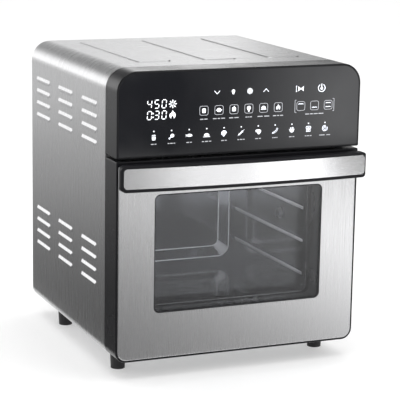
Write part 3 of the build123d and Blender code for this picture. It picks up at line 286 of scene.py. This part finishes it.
def pressed(name, tone, roughness):
    """Rolled sheet with a pale painted highlight on its pressed bends and rails, which are also
    more satin than its flats.
    """
    s = sheet(name, tone, roughness)
    facing = s.node("ShaderNodeVectorMath", operation="ABSOLUTE")
    s.link(s.node("ShaderNodeTexCoord").outputs["Normal"], facing.inputs[0])
    axes = s.node("ShaderNodeSeparateXYZ")
    s.link(facing.outputs["Vector"], axes.inputs["Vector"])
    straightest = s.node("ShaderNodeMath", operation="MAXIMUM")
    s.link(axes.outputs["X"], straightest.inputs[0])
    s.link(axes.outputs["Y"], straightest.inputs[1])
    ramp = s.node("ShaderNodeValToRGB")
    fill_ramp(ramp, BENDS)
    s.link(straightest.outputs[0], ramp.inputs["Fac"])
    bend = ramp.outputs["Color"]
    # paint the pale highlight colour onto the bends
    s.drive(s.blend(bend, s.source("Base Color"), BEND_HIGHLIGHT_COLOR), "Base Color")
    s.drive(map_range(s.tree, bend, 0.0, 1.0, 1.0, BEND_METALLIC), "Metallic")
    s.drive(map_range(s.tree, bend, 0.0, 1.0, s.source("Roughness"), BEND_ROUGHNESS), "Roughness")
    return s


def moulded(name, color, roughness, specular=0.4, grain_depth=6e-6):
    """Moulded plastic or rubber: fine spark texture, faint flow marks and rubbed edges."""
    s = Surface(name, color, roughness)
    s.set(Specular_IOR_Level=specular)
    flow = s.noise(FLOW, 3.0)
    base = s.blend(s.spread(flow), shade(color, 0.86), shade(color, 1.12))
    s.wear(PLASTIC_EDGE, tuple(c * 1.6 + 0.01 for c in color), base)
    s.vary_roughness(flow, roughness - 0.04, roughness + 0.06)
    s.relief((s.noise(SPARK, 2.0), grain_depth))
    return s


def coated(name, color, roughness, metallic=0.0, mottle=0.15, scale=60):
    """Zinc, enamel or oxide: a mottled sheet finish."""
    s = Surface(name, color, roughness, metallic)
    patches = s.noise(scale, 4.0)
    s.vary_color(s.spread(patches), shade(color, 1 - mottle), shade(color, 1 + mottle))
    s.vary_roughness(patches, roughness - 0.08, roughness + 0.1)
    s.relief((s.noise(COAT_GRAIN, 3.0), 6e-6))
    return s


def clear(name, tint, roughness=0.0):
    """Clear glass that lets lamps light what is behind it, with a faint wiped haze."""
    s = Surface(name, tint, roughness)
    s.set(Transmission_Weight=1.0, IOR=1.42)
    s.vary_roughness(s.noise(WIPED_HAZE, 4.0, (1, 1, 3)), roughness, roughness + 0.004)
    paths = s.node("ShaderNodeLightPath")
    through = s.node("ShaderNodeBsdfTransparent")
    through.inputs["Color"].default_value = (*[0.5 + 0.5 * t for t in tint], 1)
    mix = s.node("ShaderNodeMixShader")
    s.link(paths.outputs["Is Shadow Ray"], mix.inputs["Fac"])
    s.link(s.shader.outputs["BSDF"], mix.inputs[1])
    s.link(through.outputs["BSDF"], mix.inputs[2])
    s.link(mix.outputs["Shader"], s.tree.nodes["Material Output"].inputs["Surface"])
    return s


def black_glass(name, color, roughness):
    """Polished glass printed black behind, with faint fingermarks."""
    s = Surface(name, color, roughness)
    s.set(Specular_IOR_Level=0.5, IOR=1.5)
    s.vary_roughness(s.noise(18, 4.0), 0.06, 0.12)
    s.vary_color(s.spread(s.noise(300, 2.0)), (0.0045, 0.005, 0.0075), (0.006, 0.0065, 0.009))
    return s


def glowing(name, color, strength):
    """Lit print or display segment, slightly uneven as a real backlight is."""
    s = Surface(name, color, 0.4)
    s.set(Emission_Strength=strength)
    s.drive(s.blend(s.spread(s.noise(BACKLIGHT, 2.0)), shade(color, 0.92), color),
            "Emission Color")
    return s


# ---------------------------------------------------------------- finishes, by material slot
recipes = {
    "housing_steel": (brushed, 0.60, 0.27, "XZ"),
    "door_steel": (brushed, 0.70, 0.28, "Z"),
    "handle_steel": (brushed, 0.90, 0.19, "X", 0.03, 0.7, 0.3),
    "front_frame_steel": (brushed, 0.34, 0.36, "X"),
    "cavity_steel": (pressed, 0.42, 0.14),
    "screw_steel": (brushed, 0.56, 0.32, "Z"),
    "fan_aluminium": (brushed, 0.72, 0.38, "X"),
    "galvanised_steel": (coated, (0.55, 0.56, 0.57), 0.42, 1.0),
    "heater_sheath": (coated, (0.10, 0.09, 0.085), 0.55, 0.6, 0.3, 120),
    "motor_enamel": (coated, (0.12, 0.12, 0.13), 0.4),
    "circuit_board": (coated, (0.03, 0.16, 0.07), 0.35, 0.0, 0.1, 200),
    "ceramic_white": (coated, (0.82, 0.80, 0.75), 0.3, 0.0, 0.05, 40),
    "ceramic_wool": (coated, (0.78, 0.75, 0.68), 0.95, 0.0, 0.12, 150),
    "bezel_plastic": (moulded, (0.008, 0.008, 0.0095), 0.24, 0.25),
    "black_plastic": (moulded, (0.010, 0.010, 0.012), 0.45, 0.2, 2e-5),
    "white_plastic": (moulded, (0.78, 0.78, 0.76), 0.4),
    "display_plastic": (moulded, (0.02, 0.02, 0.022), 0.2),
    "silicone_seal": (moulded, (0.02, 0.02, 0.02), 0.55),
    "foot_rubber": (moulded, (0.012, 0.012, 0.013), 0.5, 0.4, 2e-5),
    "clear_glass": (clear, (0.80, 0.81, 0.83)),
    "bulb_glass": (clear, (0.95, 0.94, 0.9)),
    "lens_glass": (clear, (0.9, 0.9, 0.86), 0.25),
    "panel_glass": (black_glass, (0.005, 0.0055, 0.008), 0.08),
}
finishes = {slot: make(slot, *values) for slot, (make, *values) in recipes.items()}

for part in frame["record"]["subparts"]:
    mesh = nodes[part["node"]].data
    mesh.materials.clear()
    mesh.materials.append(finishes[part["material_slot"]].mat)

# ---------------------------------------------------------------- flat art on the touch panel
panel_low, panel_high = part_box("touch_panel")
PANEL_X = (panel_low.x + panel_high.x) / 2
ART_FRONT, ART_BACK = panel_low.y - 0.12 * MM, panel_low.y - 0.02 * MM
DISPLAY_WHITE, ICON_WHITE = (0.95, 0.97, 1.0), (0.93, 0.95, 1.0)
white_print = glowing("icon_white", ICON_WHITE, 0.9)
grey_print = glowing("icon_grey", (0.55, 0.56, 0.6), 0.35)


def circle(radius, steps=20, start=0.0, sweep=360.0):
    """Points round a circle; an open arc has both of its ends."""
    count = steps if sweep == 360.0 else steps + 1
    angles = [math.radians(start + sweep * i / steps) for i in range(count)]
    return [(radius * math.cos(a), radius * math.sin(a)) for a in angles]


def rounded(width, height, radius, steps=5):
    """Rounded rectangle outline about the origin."""
    points = []
    corners = ((1, 1, 0), (-1, 1, 90), (-1, -1, 180), (1, -1, 270))
    for sx, sz, start in corners:
        cx, cz = sx * (width / 2 - radius), sz * (height / 2 - radius)
        points += [(cx + p[0], cz + p[1]) for p in circle(radius, steps, start, 90.0)]
    return points


class Art:
    """Thin closed prisms on the panel face, drawn in millimetres from a local centre."""

    def __init__(self, name, surface):
        self.mesh = bmesh.new()
        self.name, self.surface = name, surface
        self.at, self.size = (0.0, 0.0), 1.0

    def place(self, x, z, size=1.0):
        """Following shapes are centred x mm from the panel's middle, z mm above its low edge."""
        self.at, self.size = (x, z), size
        return self

    def loop(self, points, y):
        x, z = self.at
        return [self.mesh.verts.new((PANEL_X + (x + p[0] * self.size) * MM, y,
                                     panel_low.z + (z + p[1] * self.size) * MM)) for p in points]

    def polygon(self, points):
        front, back = self.loop(points, ART_FRONT), self.loop(points, ART_BACK)
        self.mesh.faces.new(front)
        self.mesh.faces.new(back[::-1])
        for i in range(len(points)):
            j = (i + 1) % len(points)
            self.mesh.faces.new((front[i], back[i], back[j], front[j]))

    def ring(self, outer, inner):
        """Closed band between two outlines with the same number of points."""
        close_band(self.mesh, *[self.loop(points, y) for points in (outer, inner)
                                for y in (ART_FRONT, ART_BACK)])

    def disc(self, x, z, radius, squash=1.0):
        self.polygon([(x + p[0], z + p[1] * squash) for p in circle(radius)])

    def bar(self, start, end, width):
        """Straight stroke with square ends."""
        a, b = Vector(start), Vector(end)
        side = (b - a).normalized().orthogonal() * width / 2
        self.polygon([a + side, b + side, b - side, a - side])

    def stroke(self, points, width):
        for a, b in zip(points, points[1:]):
            self.bar(a, b, width)
        for p in points:
            self.disc(p[0], p[1], width / 2)

    def finish(self):
        finish_piece(self.mesh, self.name, self.surface, "oven")


# seven-segment digits: which of the segments top, upper right, lower right, bottom, lower
# left, upper left and middle are lit
SEGMENTS = {"0": "1111110", "3": "1111001", "4": "0110011", "5": "1011011"}
DIGIT_W, DIGIT_H, STROKE_W, SEGMENT_GAP, LEAN = 5.2, 9.6, 0.92, 0.55, 0.09
# heights of the rows and places along them, in mm from the panel's low edge and middle
ROW_TEMPERATURE, ROW_TIME = 61.4, 48.2
ROW_HIGH, ROW_KEYS, ROW_FOOD = 72.2, 50.9, 22.1
DIGITS_X, DIGIT_PITCH, COLON_X, COLON_HALF = -119.3, 9.2, -114.8, 2.2
FAN_SIGN, FLAME_SIGN_X = (-90.0, 60.8), -90.2
KEY_PITCH, HEAT_PITCH, FOOD_PITCH = 19.57, 18.65, 22.6
key_x = [-49.9 + KEY_PITCH * i for i in range(6)]
heat_x = [78.5 + HEAT_PITCH * i for i in range(3)]
food_x = [-113.7 + FOOD_PITCH * i for i in range(11)]


def digit(art, glyph, x, z):
    """A slanted seven-segment digit centred at x, z."""
    w, h = DIGIT_W / 2, DIGIT_H / 2
    ends = [((-w, h), (w, h)), ((w, h), (w, 0)), ((w, 0), (w, -h)), ((-w, -h), (w, -h)),
            ((-w, 0), (-w, -h)), ((-w, h), (-w, 0)), ((-w, 0), (w, 0))]
    for lit, (a, b) in zip(SEGMENTS[glyph], ends):
        if lit == "0":
            continue
        a, b = Vector(a), Vector(b)
        along = (b - a).normalized()
        across = along.orthogonal() * STROKE_W / 2
        a, b = a + along * SEGMENT_GAP, b - along * SEGMENT_GAP
        tip = along * STROKE_W / 2
        outline = [a, a + tip + across, b - tip + across, b, b - tip - across, a + tip - across]
        art.place(x, z).polygon([(p.x + p.y * LEAN, p.y) for p in outline])


display = Art("display_digits", glowing("display_white", DISPLAY_WHITE, 1.15))
for row, glyphs in ((ROW_TEMPERATURE, "450"), (ROW_TIME, "030")):
    for i, glyph in enumerate(glyphs):
        digit(display, glyph, DIGITS_X + DIGIT_PITCH * i, row)
for dz in (-COLON_HALF, COLON_HALF):
    display.place(COLON_X, ROW_TIME + dz).disc(0, 0, 0.8)
display.finish()


def flame(art, x, z, size):
    """A flame with two tongues and a hollow at its foot."""
    outline = [(0.2, 5.4), (1.2, 3.4), (1.7, 1.6), (2.5, 2.8), (3.9, 0.6), (4.1, -2.0),
               (3.0, -4.2), (1.6, -5.0), (1.8, -3.4), (0.9, -2.2), (0.0, -1.0), (-0.9, -2.2),
               (-1.8, -3.4), (-1.6, -5.0), (-3.0, -4.2), (-4.1, -2.0), (-3.9, 0.2),
               (-2.6, 2.0), (-2.0, 1.2), (-0.9, 3.2)]
    art.place(x, z, size).polygon(outline)


symbols = Art("display_symbols", glowing("symbol_white", DISPLAY_WHITE, 1.0))
symbols.place(*FAN_SIGN)
BLADES, BLADE = 8, ((1.0, -0.15), (4.4, -0.72), (5.3, 0.0), (4.4, 0.72), (1.0, 0.15))
for turn in range(BLADES):
    angle = math.radians(360 / BLADES * turn)
    ca, sa = math.cos(angle), math.sin(angle)
    symbols.polygon([(x * ca - z * sa, x * sa + z * ca) for x, z in BLADE])
flame(symbols, FLAME_SIGN_X, ROW_TIME, 0.95)
symbols.finish()

# down and up arrows, thermometer bulb and clock as solid marks, fan with lamp, power
controls = Art("control_icons", white_print)
controls.place(-33.1, ROW_HIGH).stroke([(-3.4, 1.6), (0, -1.8), (3.4, 1.6)], 0.65)
controls.place(31.3, ROW_HIGH).stroke([(-3.4, -1.6), (0, 1.8), (3.4, -1.6)], 0.65)
controls.place(-12.0, ROW_HIGH).disc(0, 0.6, 2.1)
controls.polygon([(-1.5, -0.6), (1.5, -0.6), (0.9, -3.0), (-0.9, -3.0)])
controls.place(9.8, ROW_HIGH).disc(0, 0, 2.6)
controls.ring(circle(3.6, 24), circle(3.2, 24))
controls.place(78.0, ROW_HIGH)
for side in (-1, 1):
    controls.polygon([(side * 0.3, 0.5), (side * 3.9, 3.2), (side * 3.4, 0.0), (side * 3.9, -3.2),
                      (side * 0.3, -0.5)])
controls.stroke([(-5.6, 3.4), (-6.2, 3.4), (-6.2, -3.4), (-5.6, -3.4)], 0.6)
controls.place(106.3, ROW_HIGH)
controls.stroke(circle(4.6, 26, 122, 296), 0.6)
controls.disc(0, -0.6, 1.7)
controls.bar((0, 0.0), (0, 5.2), 0.9)

keys = Art("key_outlines", grey_print)
marks = Art("key_marks", white_print)
KEY, KEY_CORNER, KEY_LINE = 11.4, 2.6, 0.5
BRACKET_OUT, BRACKET_HALF, BRACKET_HOOK = 8.0, 7.6, 1.8
for x in key_x + heat_x:
    hollow = KEY - 2 * KEY_LINE
    keys.place(x, ROW_KEYS).ring(rounded(KEY, KEY, KEY_CORNER),
                                 rounded(hollow, hollow, KEY_CORNER - KEY_LINE))
for side, x in ((-1, heat_x[0] - BRACKET_OUT), (1, heat_x[2] + BRACKET_OUT)):
    hook = -side * BRACKET_HOOK
    keys.place(x, ROW_KEYS).stroke([(hook, BRACKET_HALF), (0, BRACKET_HALF), (0, -BRACKET_HALF),
                                    (hook, -BRACKET_HALF)], 0.55)
# menu list, spit, dial, lamp, hold-warm dish, preheat flame
marks.place(key_x[0], ROW_KEYS).polygon(rounded(4.6, 5.4, 1.2))
marks.place(key_x[1], ROW_KEYS).polygon(rounded(5.4, 4.6, 1.9))
marks.bar((-4.0, 0), (4.0, 0), 0.7)
marks.place(key_x[2], ROW_KEYS).polygon(rounded(4.8, 4.8, 0.9))
marks.bar((-0.5, 2.2), (0.5, 3.8), 0.8)
marks.place(key_x[3], ROW_KEYS).disc(0, 0.7, 2.5)
marks.polygon([(-1.2, -1.4), (1.2, -1.4), (0.9, -3.6), (-0.9, -3.6)])
marks.place(key_x[4], ROW_KEYS).polygon([(p[0], p[1] - 0.6) for p in circle(3.0, 20, 0, 180)])
marks.bar((-3.6, -1.6), (3.6, -1.6), 0.8)
flame(marks, key_x[5], ROW_KEYS, 0.66)
# which heaters are on: upper, lower, both
HEATER_Z = 2.4
for x, rows in zip(heat_x, ((HEATER_Z,), (-HEATER_Z,), (HEATER_Z, -HEATER_Z))):
    marks.place(x, ROW_KEYS)
    for z in rows:
        marks.stroke([(-3.2, z), (-1.6, z + 0.5), (0, z), (1.6, z + 0.5), (3.2, z)], 0.6)

FOOD_SIZE, DOT_ABOVE, DOT_RADIUS = 0.9, 7.0, 0.85
foods = Art("food_icons", glowing("icon_pale", ICON_WHITE, 0.72))
labels = Art("label_dashes", glowing("label_grey", (0.5, 0.51, 0.54), 0.3))


def fries():
    foods.polygon([(-2.7, 0.2), (2.7, 0.2), (2.2, -4.0), (-2.2, -4.0)])
    for i in range(5):
        foods.bar((-2.0 + i, 0.9), (-2.3 + 1.15 * i, 2.9 + 0.7 * (i % 2)), 0.6)


def drumstick():
    foods.disc(1.1, 0.9, 2.7, 0.9)
    foods.stroke([(-0.6, -0.8), (-3.0, -2.8)], 1.0)
    foods.disc(-3.3, -2.5, 0.8)
    foods.disc(-2.8, -3.3, 0.8)


def fish():
    foods.polygon([(3.8 * p[0] + 0.6, 2.0 * p[1]) for p in circle(1.0, 24)])
    foods.polygon([(-2.6, 0), (-5.0, 2.0), (-4.4, 0), (-5.0, -2.0)])


def bird():
    foods.polygon([(3.9 * p[0], 3.6 * p[1] - 1.9) for p in circle(1.0, 18, 0, 180)])
    foods.bar((-5.0, -3.1), (5.0, -3.1), 0.8)


def pie_slice():
    tip = [(-0.4, -3.6)]
    crust = [(3.4 * p[0], 3.2 * p[1] + 0.4) for p in circle(1.0, 14, 10, 190)]
    foods.stroke(tip + crust + tip, 0.9)
    foods.disc(-0.2, 1.0, 2.1)
    foods.disc(0.2, -1.6, 0.9)


def skewer():
    end = Vector((4.6, 4.0))
    foods.bar(-end, end, 0.5)
    for t in (-0.55, -0.1, 0.35):
        foods.disc(end.x * t, end.y * t, 1.25)


def steak():
    foods.polygon([(-4.2, 1.4), (-3.0, 3.0), (-0.6, 2.8), (1.4, 3.2), (3.8, 2.2), (4.4, 0.2),
                   (3.0, -2.2), (0.6, -3.8), (-1.0, -2.6), (-1.2, -0.8), (-3.4, -0.4)])


def sausage():
    foods.stroke([(-4.2, -2.4), (-2.2, -1.8), (0.0, -0.4), (1.9, 1.5), (3.0, 3.8)], 0.6)
    foods.stroke([(-4.2, -3.6), (-1.6, -3.2), (1.2, -1.6), (3.2, 0.4), (4.2, 3.0)], 0.6)


def bowl():
    foods.polygon([(3.4 * p[0], 3.4 * p[1] - 0.2) for p in circle(1.0, 18, 180, 180)])
    foods.bar((-4.2, 0.7), (4.2, 0.7), 0.7)
    foods.disc(-1.6, 2.4, 1.0)
    foods.disc(1.3, 2.6, 1.2)


def toast():
    foods.stroke([(-2.8, -3.4), (2.8, -3.4), (2.8, 0.6), (3.7, 2.0), (3.0, 3.4), (0, 3.8),
                  (-3.0, 3.4), (-3.7, 2.0), (-2.8, 0.6), (-2.8, -3.4)], 0.7)
    foods.polygon(rounded(3.4, 4.4, 0.9))


def reheat():
    foods.stroke(circle(3.8, 26, 70, 320), 0.6)
    foods.stroke(circle(2.0, 16), 0.5)
    foods.bar((0, 0), (0, 2.4), 0.6)


DASH_GAP, DASH_HEIGHT = 0.9, 1.1


def dashes(x, z, total, pattern):
    """A generic caption: short plain dashes of the given lengths, centred at x."""
    scale = total / (sum(pattern) + DASH_GAP * (len(pattern) - 1))
    at = -total / 2
    for length in pattern:
        labels.place(x, z).bar((at, 0), (at + length * scale, 0), DASH_HEIGHT)
        at += (length + DASH_GAP) * scale


# each food's picture and its caption's width, then the key captions' widths
menu = ((fries, 7.0), (drumstick, 9.5), (fish, 7.0), (bird, 12.0), (pie_slice, 7.0),
        (skewer, 9.5), (steak, 7.5), (sausage, 7.0), (bowl, 7.0), (toast, 9.0), (reheat, 15.0))
KEY_CAPTIONS = (9.5, 15.5, 12.5, 8.5, 15.5, 13.5)
FOOD_CAPTION_Z, KEY_CAPTION_Z = ROW_FOOD - 8.4, ROW_KEYS - 10.2
for i, (x, (draw, width)) in enumerate(zip(food_x, menu)):
    foods.place(x, ROW_FOOD, FOOD_SIZE)
    draw()
    foods.place(x, ROW_FOOD + DOT_ABOVE).disc(0, 0, DOT_RADIUS)
    dashes(x, FOOD_CAPTION_Z, width, (2, 3, 2) if i % 2 else (3, 2))
for i, (x, width) in enumerate(zip(key_x, KEY_CAPTIONS)):
    dashes(x, KEY_CAPTION_Z, width, (3, 2, 3) if i % 2 else (3, 3))
dashes(heat_x[1], KEY_CAPTION_Z, 25.0, (4, 3, 4, 5))

for art in (controls, keys, marks, foods, labels):
    art.finish()


# ---------------------------------------------------------------- rims of the window
def window_ring(name, pane, inset, corner, grow, shrink, ys, slot):
    """A flat ring in the door round an opening inset from a pane's box; mm, and metres of y."""
    low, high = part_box(pane)
    half = high.x / MM - inset[0]
    bottom, top = low.z / MM + inset[1], high.z / MM - inset[1]
    middle = (bottom + top) / 2
    mesh = bmesh.new()
    loops = []
    for offset in (grow, -shrink):
        outline = rounded(2 * (half + offset), top - bottom + 2 * offset, corner + offset, 8)
        for y in ys:
            loops.append([mesh.verts.new((x * MM, low.y - y * MM, (z + middle) * MM))
                          for x, z in outline])
    close_band(mesh, *loops)
    finish_piece(mesh, name, finishes[slot], "door")


# the black border printed on the outer pane, and the bright rolled rim round the inner one;
# each pane reaches behind the edge of its opening by the inset
window_ring("pane_border", "door_glass", (9.0, 9.0), 7.5, 1.5, 1.6, (0.04, 0.005),
            "display_plastic")
window_ring("inner_rim", "inner_glass", (11.8, 8.6), 6.5, 1.1, 0.0, (2.9, 2.52), "handle_steel")

# ---------------------------------------------------------------- studio
FLOOR_HALF, CARD_HEIGHT = 14.0, 0.004


def stage_plane(name, corners, material):
    """A flat piece of the studio, from its four corners."""
    mesh = bpy.data.meshes.new(name)
    mesh.from_pydata(corners, [], [(0, 1, 2, 3)])
    mesh.materials.append(material)
    made = bpy.data.objects.new(name, mesh)
    bpy.context.scene.collection.objects.link(made)
    return made


def flat_corners(low, high, z):
    return [(low[0], low[1], z), (high[0], low[1], z), (high[0], high[1], z),
            (low[0], high[1], z)]


floor_paint = Surface("floor_paint", (0.62, 0.62, 0.62), 0.7)
floor_paint.vary_color(floor_paint.spread(floor_paint.noise(3, 3.0)), (0.61, 0.61, 0.61),
                       (0.63, 0.63, 0.63))
floor_paint.set(Emission_Color=(1, 1, 1, 1), Emission_Strength=0.36)
stage_plane("floor", flat_corners((-FLOOR_HALF,) * 2, (FLOOR_HALF,) * 2, 0), floor_paint.mat)

# the sky that reflections see: bright low down, dark above, brighter again overhead, stronger
# towards the left than the right and behind than in front; all else sees an even white
SKY_RISE = ((0.0, 1.3), (0.22, 1.3), (0.34, 0.06), (0.55, 0.05), (0.85, 1.0))
SKY_SIDEWAYS = ((0.0, 1.4), (0.4, 1.3), (0.6, 1.0), (0.66, 1.1), (0.703, 1.45), (0.72, 0.55),
                (0.735, 0.4), (0.9, 0.4))
SKY_FRONT, SKY_BACK, FRONT_SHARE = -0.3, 0.2, 0.3
EVEN_WHITE = 1.05
world = bpy.data.worlds.new("studio")
bpy.context.scene.world = world
world.use_nodes = True
sky = world.node_tree
link = sky.links.new
split = sky.nodes.new("ShaderNodeSeparateXYZ")
link(sky.nodes.new("ShaderNodeTexCoord").outputs["Generated"], split.inputs["Vector"])
rise = sky.nodes.new("ShaderNodeValToRGB")
link(split.outputs["Z"], rise.inputs["Fac"])
sideways = sky.nodes.new("ShaderNodeValToRGB")
link(map_range(sky, split.outputs["X"], -1.0, 1.0, 0.0, 1.0), sideways.inputs["Fac"])
both = sky.nodes.new("ShaderNodeVectorMath")
both.operation = "MULTIPLY"
link(rise.outputs["Color"], both.inputs[0])
link(sideways.outputs["Color"], both.inputs[1])
faded = sky.nodes.new("ShaderNodeVectorMath")
faded.operation = "SCALE"
link(both.outputs["Vector"], faded.inputs[0])
link(map_range(sky, split.outputs["Y"], SKY_FRONT, SKY_BACK, FRONT_SHARE, 1.0),
     faded.inputs["Scale"])
reflected = sky.nodes.new("ShaderNodeBackground")
reflected.inputs["Strength"].default_value = (fill_ramp(rise, SKY_RISE)
                                              * fill_ramp(sideways, SKY_SIDEWAYS))
link(faded.outputs["Vector"], reflected.inputs["Color"])
even = sky.nodes["Background"]
even.inputs["Color"].default_value = (EVEN_WHITE, EVEN_WHITE, EVEN_WHITE, 1)
choose = sky.nodes.new("ShaderNodeMixShader")
link(sky.nodes.new("ShaderNodeLightPath").outputs["Is Glossy Ray"], choose.inputs["Fac"])
link(even.outputs["Background"], choose.inputs[1])
link(reflected.outputs["Background"], choose.inputs[2])
link(choose.outputs["Shader"], sky.nodes["World Output"].inputs["Surface"])


def card(name, corners, along, span, stops):
    """A plane that only reflections see, like a studio flag or reflector.

    Its brightness follows stops as the position along the direction `along` goes from
    span[0] to span[1] metres."""
    mat = bpy.data.materials.new(name)
    mat.use_nodes = True
    tree = mat.node_tree
    tree.nodes.remove(tree.nodes["Principled BSDF"])
    where = tree.nodes.new("ShaderNodeTexCoord")
    reach = tree.nodes.new("ShaderNodeVectorMath")
    reach.operation = "DOT_PRODUCT"
    reach.inputs[1].default_value = along
    ramp = tree.nodes.new("ShaderNodeValToRGB")
    glow = tree.nodes.new("ShaderNodeEmission")
    glow.inputs["Strength"].default_value = fill_ramp(ramp, stops)
    tree.links.new(where.outputs["Object"], reach.inputs[0])
    tree.links.new(map_range(tree, reach.outputs["Value"], *span, 0.0, 1.0), ramp.inputs["Fac"])
    tree.links.new(ramp.outputs["Color"], glow.inputs["Color"])
    tree.links.new(glow.outputs["Emission"], tree.nodes["Material Output"].inputs["Surface"])
    made = stage_plane(name, corners, mat)
    for use in ("camera", "diffuse", "transmission", "shadow", "volume_scatter"):
        setattr(made, "visible_" + use, False)


def floor_card(name, low, high, along, span, stops):
    card(name, flat_corners(low, high, CARD_HEIGHT), (*along, 0), span, stops)


def standing_card(name, azimuth, half_width, height, distance, stops):
    """Upright card in front of the oven; azimuth in degrees from straight ahead, + to +X."""
    a = math.radians(azimuth)
    ahead, aside = Vector((math.sin(a), -math.cos(a), 0)), Vector((math.cos(a), math.sin(a), 0))
    corners = [ahead * distance + aside * x + Vector((0, 0, z))
               for x, z in ((-half_width, 0), (half_width, 0), (half_width, height),
                            (-half_width, height))]
    card(name, corners, aside, (-half_width, half_width), stops)


# the door skin sees the floor nearest to it, the handle the next strip, and the touch panel
# the strip beyond that; the upright card ends the handle's long reflection
DOOR_EDGE, HANDLE_EDGE, PANEL_EDGE = -1.23, -1.53, -3.3
floor_card("front_reflector", (-1.2, DOOR_EDGE), (1.6, -0.19), (1.0, 0.05), (-0.4, 1.0),
           ((0.0, 0.2), (0.2, 0.26), (0.28, 0.36), (0.35, 0.5), (0.41, 0.68), (0.46, 0.9),
            (0.6, 1.5), (0.67, 2.0), (0.745, 2.0), (0.79, 0.6), (0.85, 0.15), (1.0, 0.1)))
floor_card("handle_reflector", (-1.2, HANDLE_EDGE), (2.2, DOOR_EDGE), (1.0, 0.0), (-0.4, 1.6),
           ((0.0, 0.25), (0.18, 0.35), (0.27, 1.2), (0.36, 2.2), (0.46, 1.0), (0.6, 0.55),
            (0.7, 0.1), (1.0, 0.05)))
floor_card("panel_reflector", (-1.6, PANEL_EDGE), (3.2, HANDLE_EDGE), (1.0, 0.5), (-0.8, 0.6),
           ((0.0, 0.25), (0.34, 0.2), (0.43, 0.6), (0.57, 1.9), (0.64, 2.8), (0.75, 2.4),
            (0.85, 0.3), (1.0, 0.2)))
standing_card("handle_far_reflector", 23.0, 3.0, 2.0, 3.6,
              ((0.0, 0.25), (0.34, 0.35), (0.385, 1.2), (0.45, 1.9), (0.52, 0.9), (0.6, 0.55),
               (0.66, 0.1), (1.0, 0.05)))
floor_card("left_flag", (-5.0, -0.18), (-0.18, 7.0), (-0.573, 0.82), (0.0, 2.4),
           ((0.0, 0.1), (0.135, 0.15), (0.29, 0.25), (0.465, 0.41), (0.62, 0.5), (0.74, 0.6),
            (0.85, 0.74), (1.0, 0.78)))


def softbox(name, at, aim, width, depth, watts, glossy=True):
    lamp = bpy.data.lights.new(name, "AREA")
    lamp.shape = "RECTANGLE"
    lamp.size, lamp.size_y, lamp.energy = width, depth, watts
    holder = bpy.data.objects.new(name, lamp)
    holder.location = at
    holder.rotation_euler = (Vector(aim) - Vector(at)).to_track_quat("-Z", "Y").to_euler()
    holder.visible_glossy, holder.visible_camera = glossy, False
    bpy.context.scene.collection.objects.link(holder)


centre = (cad_box[0] + cad_box[1]) / 2
softbox("overhead", (0.0, 0.0, 2.6), centre, 2.6, 2.6, 30)
softbox("front_right", (1.6, -2.2, 1.6), centre, 1.4, 1.4, 14, glossy=False)
# a weak strip inside the cavity, behind the window's top edge, picks out the pressed bends
softbox("cavity_strip", (-0.03, -0.105, 0.246), (0.0, 0.08, 0.13), 0.18, 0.02, 0.5, glossy=False)

# ---------------------------------------------------------------- camera
YAW, PITCH, ROLL = (math.radians(a) for a in (23.14, 11.87, 0.97))
CAMERA_AT = Vector((-0.8107, -1.9326, 0.6229))
FOCAL_MM, SENSOR_MM, FAR_CLIP = 147.5, 36.0, 60.0
forward = Vector((math.sin(YAW) * math.cos(PITCH), math.cos(YAW) * math.cos(PITCH),
                  -math.sin(PITCH)))
level = Vector((math.cos(YAW), -math.sin(YAW), 0))
upright = level.cross(forward)
right = math.cos(ROLL) * level + math.sin(ROLL) * upright
up = -math.sin(ROLL) * level + math.cos(ROLL) * upright
lens = bpy.data.cameras.new("camera")
lens.lens, lens.sensor_width, lens.clip_end = FOCAL_MM, SENSOR_MM, FAR_CLIP
camera = bpy.data.objects.new("camera", lens)
turned = Matrix((right, up, -forward)).transposed().to_4x4()
camera.matrix_world = Matrix.Translation(CAMERA_AT) @ turned
bpy.context.scene.collection.objects.link(camera)
bpy.context.scene.camera = camera
bpy.context.scene.view_settings.view_transform = "Standard"
